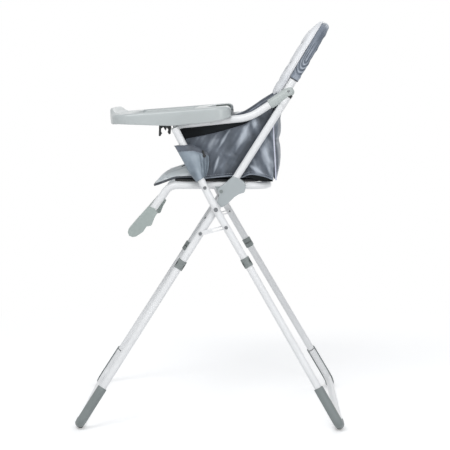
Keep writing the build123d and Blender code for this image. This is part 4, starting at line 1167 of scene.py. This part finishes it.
COVER_HALF = 11.1
COVER_FOOT = 44
COVER_TOP = 211.5
COVER_SIDE = 11.7
COVER_CORNER = 81.7
HOOP_FOOT_HALF = 197
HOOP_LEAN = 0.125
HOOP_BEND_UP = 130
HOOP_BEND_HALF = 110.2
COVER_LIP = 1.6
COVER_LIP_UPS = (COVER_FOOT + 7, COVER_FOOT + 0.4)
COVER_LEVELS = [0.0, 0.7] + [2.2 * step for step in range(1, 71)]
COVER_LEVELS += [157.5, 160.5, 163, 165, 166.4, 167.2, 167.5]
COVER_ROUND = 0.97
COVER_STEPS = (12, 60)
COVER_SIDE_BAND = (-16, -8)
COVER_HEM_UP = 1.2
COVER_HEM_RADIUS = 1.3
COVER_HEM_SUNK = 0.2
COVER_HEM_STEPS = (8, 40)
RIPPLE_AT = (-2.0, 104)
RIPPLE_STRETCH = 2.4
RIPPLE_PITCH = 4.6
RIPPLE_END = 176
PAD_FOOT = -16
PAD_TOP = 210
PAD_REAR = 10.4
PAD_FRONT = 28.6
PAD_THIN_FROM = 154
PAD_THIN = 0.62
PAD_CHANNELS = (26, 80, 140)
PAD_CHANNEL_DEPTH = 2.2
PAD_CHANNEL_WIDTH = 6
PAD_SOFT_HALF = 104
PAD_SOFT_DEPTH = 6.8
PAD_SOFT_FROM = 0.7
PAD_FOOT_HALF = 176.5
PAD_TOP_HALF = 181
PAD_FOOT_CORNER = 22
PAD_TOP_CORNER = 70
PAD_SECTIONS = [(160, 0.0), (60, 0.0), (20, 0.0), (6, 0.0), (1.5, 0.1), (0, 0.34), (1.2, 0.58), (5, 0.8),
                (12, 0.92), (24, 0.97)]
PAD_FLAT_INSETS = range(34, 170, 9)
PAD_CROWN = 0.03
PAD_CROWN_INSETS = (34, 94)
PAD_STEPS = (12, 26)
PAD_EDGE = 24
PAD_DRAW = (0.9, 0.58)
PAD_CORNER_DRAW = 0.3
PAD_LEAST_CORNERS = (4, 10)
PAD_CORNER_ROOM = 0.45
PIPING_SHARE = 0.16
PIPING_PROUD = (0.9, 0.8)
PAD_PIPING_RADIUS = 2.1


def cover_half_width(up):
    """Half width of the hoop's cover at a height along the backrest, rounded in at the top."""
    side = HOOP_FOOT_HALF - HOOP_LEAN * up + COVER_SIDE
    if up <= HOOP_BEND_UP:
        return side
    return min(side, HOOP_BEND_HALF + sqrt(max(0.0, COVER_CORNER ** 2 - (up - HOOP_BEND_UP) ** 2)))


def flat_ring(half, thick, steps):
    """Flat section with round sides, given by its half width and half thickness."""
    corners = [(-half, -thick), (half, -thick), (half, thick), (-half, thick)]
    return rounded_ring(corners, [thick * COVER_ROUND] * 4, *steps)


def cover_ring(up, draw):
    """Section of the cover at a height, drawn in by draw."""
    left = max(0.0, COVER_TOP - up)
    round_top = 1.0 if left >= COVER_HALF else sqrt(max(0.02, 1 - (1 - left / COVER_HALF) ** 2))
    return flat_ring(cover_half_width(up) - draw, COVER_HALF * round_top - draw, COVER_STEPS)


def on_cover_side(p, up):
    """0 on the cover's front and back, 1 on its sides."""
    return eased(abs(p.x) - cover_half_width(up), *COVER_SIDE_BAND)


def cover_wave(y, up, ahead):
    """Loose wrinkles of the cover, outwards only, mostly on its sides and back."""
    fade = min(1.0, (up - COVER_FOOT) / 14) * share_between(up, COVER_TOP, COVER_TOP - 30)
    slow = 1 + sin(0.13 * up - 0.03 * abs(y) + 1.3)
    quick = 1 + sin(0.31 * up + 0.05 * abs(y))
    return 1 + fade * (0.055 * slow + 0.035 * quick) * (0.25 if ahead > 0 else 1.0)


def cover_ripple(p, up):
    """Nested hanging folds on the cover's side, -1 to 1: bows below a middle, straight lines above it."""
    across, middle = RIPPLE_AT
    below = max(0.0, middle - up) / RIPPLE_STRETCH
    distance = hypot(p.y - across, below)
    fade = eased(up - COVER_FOOT, 10, 24) * eased(up, RIPPLE_END, RIPPLE_END - 70)
    return sin(2 * pi * distance / RIPPLE_PITCH) * fade


def cover_light(p, up):
    """Painted light and shade of the cover: painted sheen in the nested folds on its sides, painted light and
    shade streaks on its back, a painted highlight band over its hem.
    """
    hem = bell((up - COVER_FOOT - 8) / 7)
    side = on_cover_side(p, up)
    drape = wrinkle(p.x * 0.03, up * 0.012, 2.0 if p.y > 0 else 8.0)
    streak = wrinkle(p.y * 0.2, up * 0.02, p.x * 0.05)
    loose = (0.5 * drape + 0.18 * streak) * (1 - 0.6 * side)
    return 0.42 + 0.14 * hem + 0.3 * side * cover_ripple(p, up) + loose


def cover_out(p, up):
    """Sideways place of a cover point, pushed out by the nested folds at the sides."""
    push = (0.5 + 0.5 * cover_ripple(p, up)) * on_cover_side(p, up)
    return p.x + push * (1 if p.x > 0 else -1)


def make_back_cover():
    inside, turn = COVER_LIP_UPS
    rings = [[(p, inside) for p in cover_ring(inside, COVER_LIP)],
             [(p, turn) for p in cover_ring(COVER_FOOT, COVER_LIP)]]
    for level in COVER_LEVELS:
        up = COVER_FOOT + level
        rings.append([(p, up) for p in cover_ring(up, 0)])
    placed = [[on_back(up, cover_out(p, up), p.y * cover_wave(p.x, up, p.y)) for p, up in ring]
              for ring in rings]
    cover = lofted("backrest_cover", placed, COVER_SLATE)
    light_up(cover, [cover_light(p, up) for ring in rings for p, up in ring])
    place(cover, "front_frame", "slate_cloth", "back_cover")
    half = cover_half_width(COVER_FOOT) - COVER_HEM_SUNK
    ring = flat_ring(half, COVER_HALF - COVER_HEM_SUNK, COVER_HEM_STEPS)
    loop = [on_back(COVER_FOOT + COVER_HEM_UP, p.x, p.y) for p in ring]
    hem = cord_mesh("backrest_hem", [loop + loop[:1]], COVER_HEM_RADIUS, DARK_BINDING)
    place(hem, "front_frame", "slate_cloth")


def pad_taper(up):
    """The pad thins towards its top edge."""
    return 1 - PAD_THIN * share_between(up, PAD_THIN_FROM, PAD_TOP) ** 2


def pad_ahead(y, up, share):
    """Distance of a pad point in front of the backrest's plane, with sewn channels and a softer middle."""
    ahead = PAD_REAR + (PAD_FRONT - PAD_REAR) * share * pad_taper(up)
    front = max(0.0, share - PAD_SOFT_FROM) / (1 - PAD_SOFT_FROM)
    channel = near_seams(up, PAD_CHANNELS, PAD_CHANNEL_WIDTH)
    sink = PAD_SOFT_DEPTH * max(0.0, 1 - (y / PAD_SOFT_HALF) ** 2) ** 1.5
    return ahead - (PAD_CHANNEL_DEPTH * channel + sink) * front


def pad_ring(foot, top, foot_half, top_half, foot_corner, top_corner, share):
    """Ring on the pad, wider at its top, at a share of the pad's thickness."""
    corners = [(-foot_half, foot), (foot_half, foot), (top_half, top), (-top_half, top)]
    ring = rounded_ring(corners, [foot_corner, foot_corner, top_corner, top_corner], *PAD_STEPS)
    return [on_back(p.y, p.x, pad_ahead(p.x, p.y, share)) for p in ring]


def make_back_pad():
    edge_draw, flat_draw = PAD_DRAW
    least_foot, least_top = PAD_LEAST_CORNERS
    flat = [(inset, 1.0 + PAD_CROWN * eased(inset, *PAD_CROWN_INSETS)) for inset in PAD_FLAT_INSETS]
    rings = []
    for inset, share in PAD_SECTIONS + flat:
        drawn = min(inset, PAD_EDGE) * edge_draw + max(0, inset - PAD_EDGE) * flat_draw
        foot = PAD_FOOT + drawn
        top = PAD_TOP - drawn
        foot_half = PAD_FOOT_HALF - inset
        room = PAD_CORNER_ROOM * min(top - foot, 2 * foot_half)
        foot_corner = min(max(least_foot, PAD_FOOT_CORNER - inset * PAD_CORNER_DRAW), room)
        top_corner = min(max(least_top, PAD_TOP_CORNER - inset), room)
        rings.append(pad_ring(foot, top, foot_half, PAD_TOP_HALF - inset, foot_corner, top_corner, share))
    pad = lofted("backrest_pad", rings, PALE)
    place(pad, "front_frame", "pale_cloth", "back_pad")
    foot_proud, top_proud = PIPING_PROUD
    edge = pad_ring(PAD_FOOT, PAD_TOP, PAD_FOOT_HALF + foot_proud, PAD_TOP_HALF + top_proud,
                    PAD_FOOT_CORNER, PAD_TOP_CORNER, PIPING_SHARE)
    piping = cord_mesh("backrest_piping", [edge + edge[:1]], PAD_PIPING_RADIUS, WHITE_PIPING)
    place(piping, "front_frame", "pale_cloth")


# Cloth sleeves with flaps round the rear uprights

SLEEVE_LEFT = [(-89, 719.5), (-77, 698), (-66, 678), (-57, 660), (-46, 643), (-34, 628.5)]
SLEEVE_RIGHT = [(-6, 704), (-2.5, 690), (-2.5, 674), (-4, 660), (-7, 650), (-10, 643)]
SLEEVE_TOP_RISE = [(0, 0), (0.12, 6), (0.3, 9), (0.55, 10), (0.8, 8), (1, 0)]
SLEEVE_RISE_STEPS = 40
SLEEVE_RISE_END = 0.7
SLEEVE_ROWS = 52
SLEEVE_COLUMNS = 34
SLEEVE_BULGE = 11.4
SLEEVE_TUBE = 10.6
FLAP_GAP = 1.6
GATHER_ZS = (702, 672)
GATHER_HEIGHT = 1.7
BAND_ROWS = 8
SLEEVE_THICK = 0.8
SLEEVE_BINDING_RADIUS = 1.1
BAND_STITCH = (4.2, 2.8)
BAND_POINTS = 160
SNAP_COLUMN = 28
SNAP_ROWS = (1, 12)
SNAP_OUT = 1.3
SNAP_STRAP = (5, 1.4)
SNAP_SIZE = (4.6, 2.4)


def sleeve_ring(left, right, rise, side):
    """Teardrop ring round the upright, its tail towards the seat."""
    ring = []
    reach_left = upright_offset(left)
    reach_right = upright_offset(right)
    for layer in (1, -1):
        for k in range(SLEEVE_COLUMNS):
            u = k / (SLEEVE_COLUMNS - 1) if layer > 0 else 1 - k / (SLEEVE_COLUMNS - 1)
            spot = left.lerp(right, u)
            lift = rise * sleeve_rise(u)
            offset = reach_left + (reach_right - reach_left) * u
            depth = sleeve_depth(offset, reach_left, reach_right, layer, spot.z)
            ring.append(at(spot.x, side * depth, spot.z + lift))
    return ring


def sleeve_rise(u):
    """Height of the sleeve's top edge over a straight line from its left to its right end."""
    return side_curve(SLEEVE_TOP_RISE, SLEEVE_RISE_STEPS + 1)[round(u * SLEEVE_RISE_STEPS)].z


def upright_offset(point):
    """Signed distance of a side-view point from the rear upright's axis, positive towards the seat."""
    return (point.x - PIVOT.x) * sin(REAR_HIGH_ANGLE) + (point.z - PIVOT.z) * cos(REAR_HIGH_ANGLE)


def sleeve_depth(offset, left, right, layer, z):
    """Distance of the sleeve's outer or inner layer from the middle plane, always outside the tube."""
    if offset < 0:
        t = min(1.0, offset / left)
        loose = SLEEVE_BULGE * sqrt(max(0.0, 1 - t * t))
        return REAR_Y + layer * loose
    t = min(1.0, offset / right)
    if layer < 0:
        return REAR_Y - SLEEVE_BULGE + 0.6 * t
    gather = eased(t, 0.3, 0.6) * eased(t, 1, 0.88) * eased(z, *GATHER_ZS)
    fold = GATHER_HEIGHT * sin(0.85 * offset + 0.03 * z) * gather
    loose = SLEEVE_BULGE + (FLAP_GAP - 2 * SLEEVE_BULGE) * (0.45 * t + 0.55 * eased(t)) + fold
    tube = sqrt(max(0.0, SLEEVE_TUBE ** 2 - offset * offset))
    return REAR_Y + (max(loose, tube) if offset < SLEEVE_TUBE else loose)


def gather_light(column, row):
    """Painted light and shade of the sleeve: a painted highlight on its front, painted light and shade
    streaks where the flap is gathered.
    """
    if column >= SLEEVE_COLUMNS:
        return 0.35
    u = column / (SLEEVE_COLUMNS - 1)
    v = row / (SLEEVE_ROWS - 1)
    front = bell((u - 0.52) / 0.2) * eased(v, 0.1, 0.3)
    streak = sin(1.55 * column + 0.05 * row) * eased(u, 0.55, 0.7)
    return 0.36 + 0.3 * front + 0.16 * streak * eased(v, 0.12, 0.32)


def make_sleeve(side_name, side):
    left = side_curve(SLEEVE_LEFT, SLEEVE_ROWS)
    right = side_curve(SLEEVE_RIGHT, SLEEVE_ROWS)
    rings = []
    for i in range(SLEEVE_ROWS):
        fade = max(0.0, 1 - i / (SLEEVE_ROWS * SLEEVE_RISE_END))
        rings.append(sleeve_ring(left[i], right[i], fade, side))
    count = len(rings[0])
    points = [p for ring in rings for p in ring]
    faces = grid_faces(len(rings), count, wrap_columns=True)
    sleeve = new_object(f"sleeve_{side_name}", points, faces, FLAP_SLATE)
    light_up(sleeve, [gather_light(index % count, index // count) for index in range(len(points))])
    second_finish(sleeve, SLATE, lambda face: face.index < BAND_ROWS * count)
    outward(sleeve)
    thicken(sleeve, SLEEVE_THICK, -1)
    place(sleeve, "rear_frame", "slate_cloth", f"cloth_sleeve_{side_name}")
    out = Vector((0, side, 0))
    loop = rings[0] + rings[0][:1]
    top = cord_mesh(f"sleeve_binding_{side_name}", [loop], SLEEVE_BINDING_RADIUS, SLATE)
    seam = [rings[BAND_ROWS][column] + out * STITCH_OUT * MM for column in range(2, SLEEVE_COLUMNS - 1)]
    sewn = stitches(f"sleeve_stitches_{side_name}", through(seam, BAND_POINTS), BAND_STITCH)
    path = [rings[i][SNAP_COLUMN] + out * SNAP_OUT * MM for i in range(*SNAP_ROWS)]
    strap = ribbon(f"sleeve_strap_{side_name}", path, Vector((1, 0, 0)), SNAP_STRAP, BLACK)
    snap = button(f"sleeve_snap_{side_name}", path[-1], out, SNAP_SIZE, BLACK)
    for trim in (top, sewn):
        place(trim, "rear_frame", "slate_cloth")
    for trim in (strap, snap):
        place(trim, "rear_frame", "black_plastic")


# Harness webbing


def ribbon(name, path, across, size, material):
    """Flat strap of a width and a thickness along a path; across gives the direction of its width."""
    width, thickness = [length * MM for length in size]
    half = width / 2
    flat = half * 0.96
    section = [(-half, 0), (-flat, 1), (flat, 1), (half, 0), (flat, -1), (-flat, -1)]
    rings = []
    for k, point in enumerate(path):
        way = (path[min(k + 1, len(path) - 1)] - path[max(k - 1, 0)]).normalized()
        wide = (across - way * across.dot(way)).normalized()
        up = way.cross(wide)
        rings.append([point + wide * s + up * t * thickness / 2 for s, t in section])
    return lofted(name, rings, material, fans=False)


STRAP_SIZE = (25, 1.6)
SHOULDER_Y = 52
SHOULDER_STOPS = [(184, -5), (174, 0.4), (150, 1.0), (120, 1.2), (98, 1.2), (82, 2.2), (66, 2.2), (50, 1.2),
                  (40, 0.4), (32, -5)]
SHOULDER_SHARE = 1.03
SHOULDER_POINTS = 60
WAIST_POINTS = 50
CROTCH_POINTS = 30
WAIST_X = -18
WAIST_STOPS = [(29, 5.5), (44, 3.5), (80, 1.4), (120, 1.2), (140, 0.8), (148, -3)]
CROTCH_STOPS = [(-40, 5.5), (-50, 3), (-66, 1.2), (-80, 0.8), (-86, -3)]


def lying(tree, x, y, lift):
    """Point over the seat pad's top, lifted off its surface."""
    hit = tree.ray_cast(at(x, y, 2 * RAY_START), Vector((0, 0, -1)))[0]
    return hit + Vector((0, 0, lift * MM))


def webbing(name, stops, count, across, body, node):
    """Strap of the harness through its stops."""
    strap = ribbon(name, through(stops, count), Vector(across), STRAP_SIZE, WEBBING)
    place(strap, body, "webbing", node)


def make_harness(tree):
    for side_name, side in SIDES.items():
        y = side * SHOULDER_Y
        stops = [on_back(up, y, pad_ahead(y, up, SHOULDER_SHARE) + lift) for up, lift in SHOULDER_STOPS]
        webbing(f"shoulder_strap_{side_name}", stops, SHOULDER_POINTS, (0, 1, 0), "front_frame",
                "shoulder_straps")
        stops = [lying(tree, WAIST_X, side * along, lift) for along, lift in WAIST_STOPS]
        webbing(f"waist_strap_{side_name}", stops, WAIST_POINTS, (1, 0, 0), "seat", "waist_straps")
    stops = [lying(tree, x, 0, lift) for x, lift in CROTCH_STOPS]
    webbing("crotch_webbing", stops, CROTCH_POINTS, (0, 1, 0), "seat", "crotch_strap")


for side_name, side in SIDES.items():
    make_back_joint(side_name, side)
    for row in FOOT_CORNERS:
        make_foot_cover(row, side_name, side)
make_tray()
for side_name, side in SIDES.items():
    make_side_panel(side_name, side)
    make_sleeve(side_name, side)
make_lower_back()
seat_tree = make_seat_pad()
make_back_cover()
make_back_pad()
make_harness(seat_tree)


# Stage: floor, light and camera, in metres

FLOOR_HALF = 40
FLOOR_SHADE = (0.92, 0.92, 0.92, 1)
FLOOR_LIFT = 0.34
SHADOW_REACH = (0.9, 1.7)
GLOW_COLOR = (0.95, 0.97, 1.0, 1)
GLOW_STRENGTH = 0.5
LIGHTS = [
    ("key", (-0.8, -2.3, 2.9), (0, 0, 0.6), (1.5, 1.2), 37),
    ("strip", (1.3, -2.4, 1.0), (0, 0, 0.8), (0.24, 1.6), 12),
    ("rim", (0.8, 2.6, 2.4), (0, 0, 0.6), (2.0, 1.2), 19),
]


def make_floor():
    """White floor that keeps a soft shadow near the chair and is plain white further out."""
    shader = Shader("floor")
    shader.set(Base_Color=FLOOR_SHADE, Roughness=0.9, Specular_IOR_Level=0.0)
    matt = shader.principled.outputs["BSDF"]
    white, lift = [shader.add("ShaderNodeEmission", {"Strength": strength}).outputs["Emission"]
                   for strength in (1.0, FLOOR_LIFT)]
    lit = shader.add("ShaderNodeAddShader", {0: matt, 1: lift}).outputs["Shader"]
    length = shader.add("ShaderNodeVectorMath", {0: shader.place}, operation="LENGTH").outputs["Value"]
    near, far = SHADOW_REACH
    away = shader.add("ShaderNodeMapRange", {"Value": length, "From Min": near, "From Max": far})
    seen = shader.mix(away.outputs["Result"], lit, white)
    choice = shader.mix(shader.seen_rays(), matt, seen)
    shader.links.new(choice, shader.nodes["Material Output"].inputs["Surface"])
    corners = [(x * FLOOR_HALF, y * FLOOR_HALF, 0) for x, y in ((-1, -1), (1, -1), (1, 1), (-1, 1))]
    new_object("floor", corners, [(0, 1, 2, 3)], shader.material)


def make_world():
    """White for the camera, a soft studio glow for everything else."""
    world = bpy.data.worlds.new("studio")
    bpy.context.scene.world = world
    tree = NodeTree(world)
    glow = tree.nodes["Background"]
    glow.inputs["Color"].default_value = GLOW_COLOR
    glow.inputs["Strength"].default_value = GLOW_STRENGTH
    white = tree.add("ShaderNodeBackground", {"Color": (1, 1, 1, 1), "Strength": 1.0})
    mixed = tree.mix(tree.seen_rays(), glow.outputs["Background"], white.outputs["Background"])
    tree.links.new(mixed, tree.nodes["World Output"].inputs["Surface"])


def area_light(name, place, target, size, watts):
    light = bpy.data.lights.new(name, "AREA")
    light.shape = "RECTANGLE"
    light.size, light.size_y = size
    light.energy = watts
    obj = bpy.data.objects.new(name, light)
    obj.location = place
    obj.rotation_mode = "QUATERNION"
    obj.rotation_quaternion = (Vector(target) - Vector(place)).to_track_quat("-Z", "Y")
    bpy.context.scene.collection.objects.link(obj)


def make_camera():
    data = bpy.data.cameras.new("camera")
    data.sensor_width = SENSOR
    data.lens = FOCAL_PIXELS / IMAGE_SIZE * SENSOR
    data.clip_end = 100
    camera = bpy.data.objects.new("camera", data)
    camera.location = CAMERA_AT
    camera.rotation_euler = (pi / 2 + CAMERA_PITCH, 0, -CAMERA_YAW)
    bpy.context.scene.collection.objects.link(camera)
    bpy.context.scene.camera = camera


make_floor()
make_world()
for lamp in LIGHTS:
    area_light(*lamp)
make_camera()
bpy.context.scene.view_settings.view_transform = "Standard"
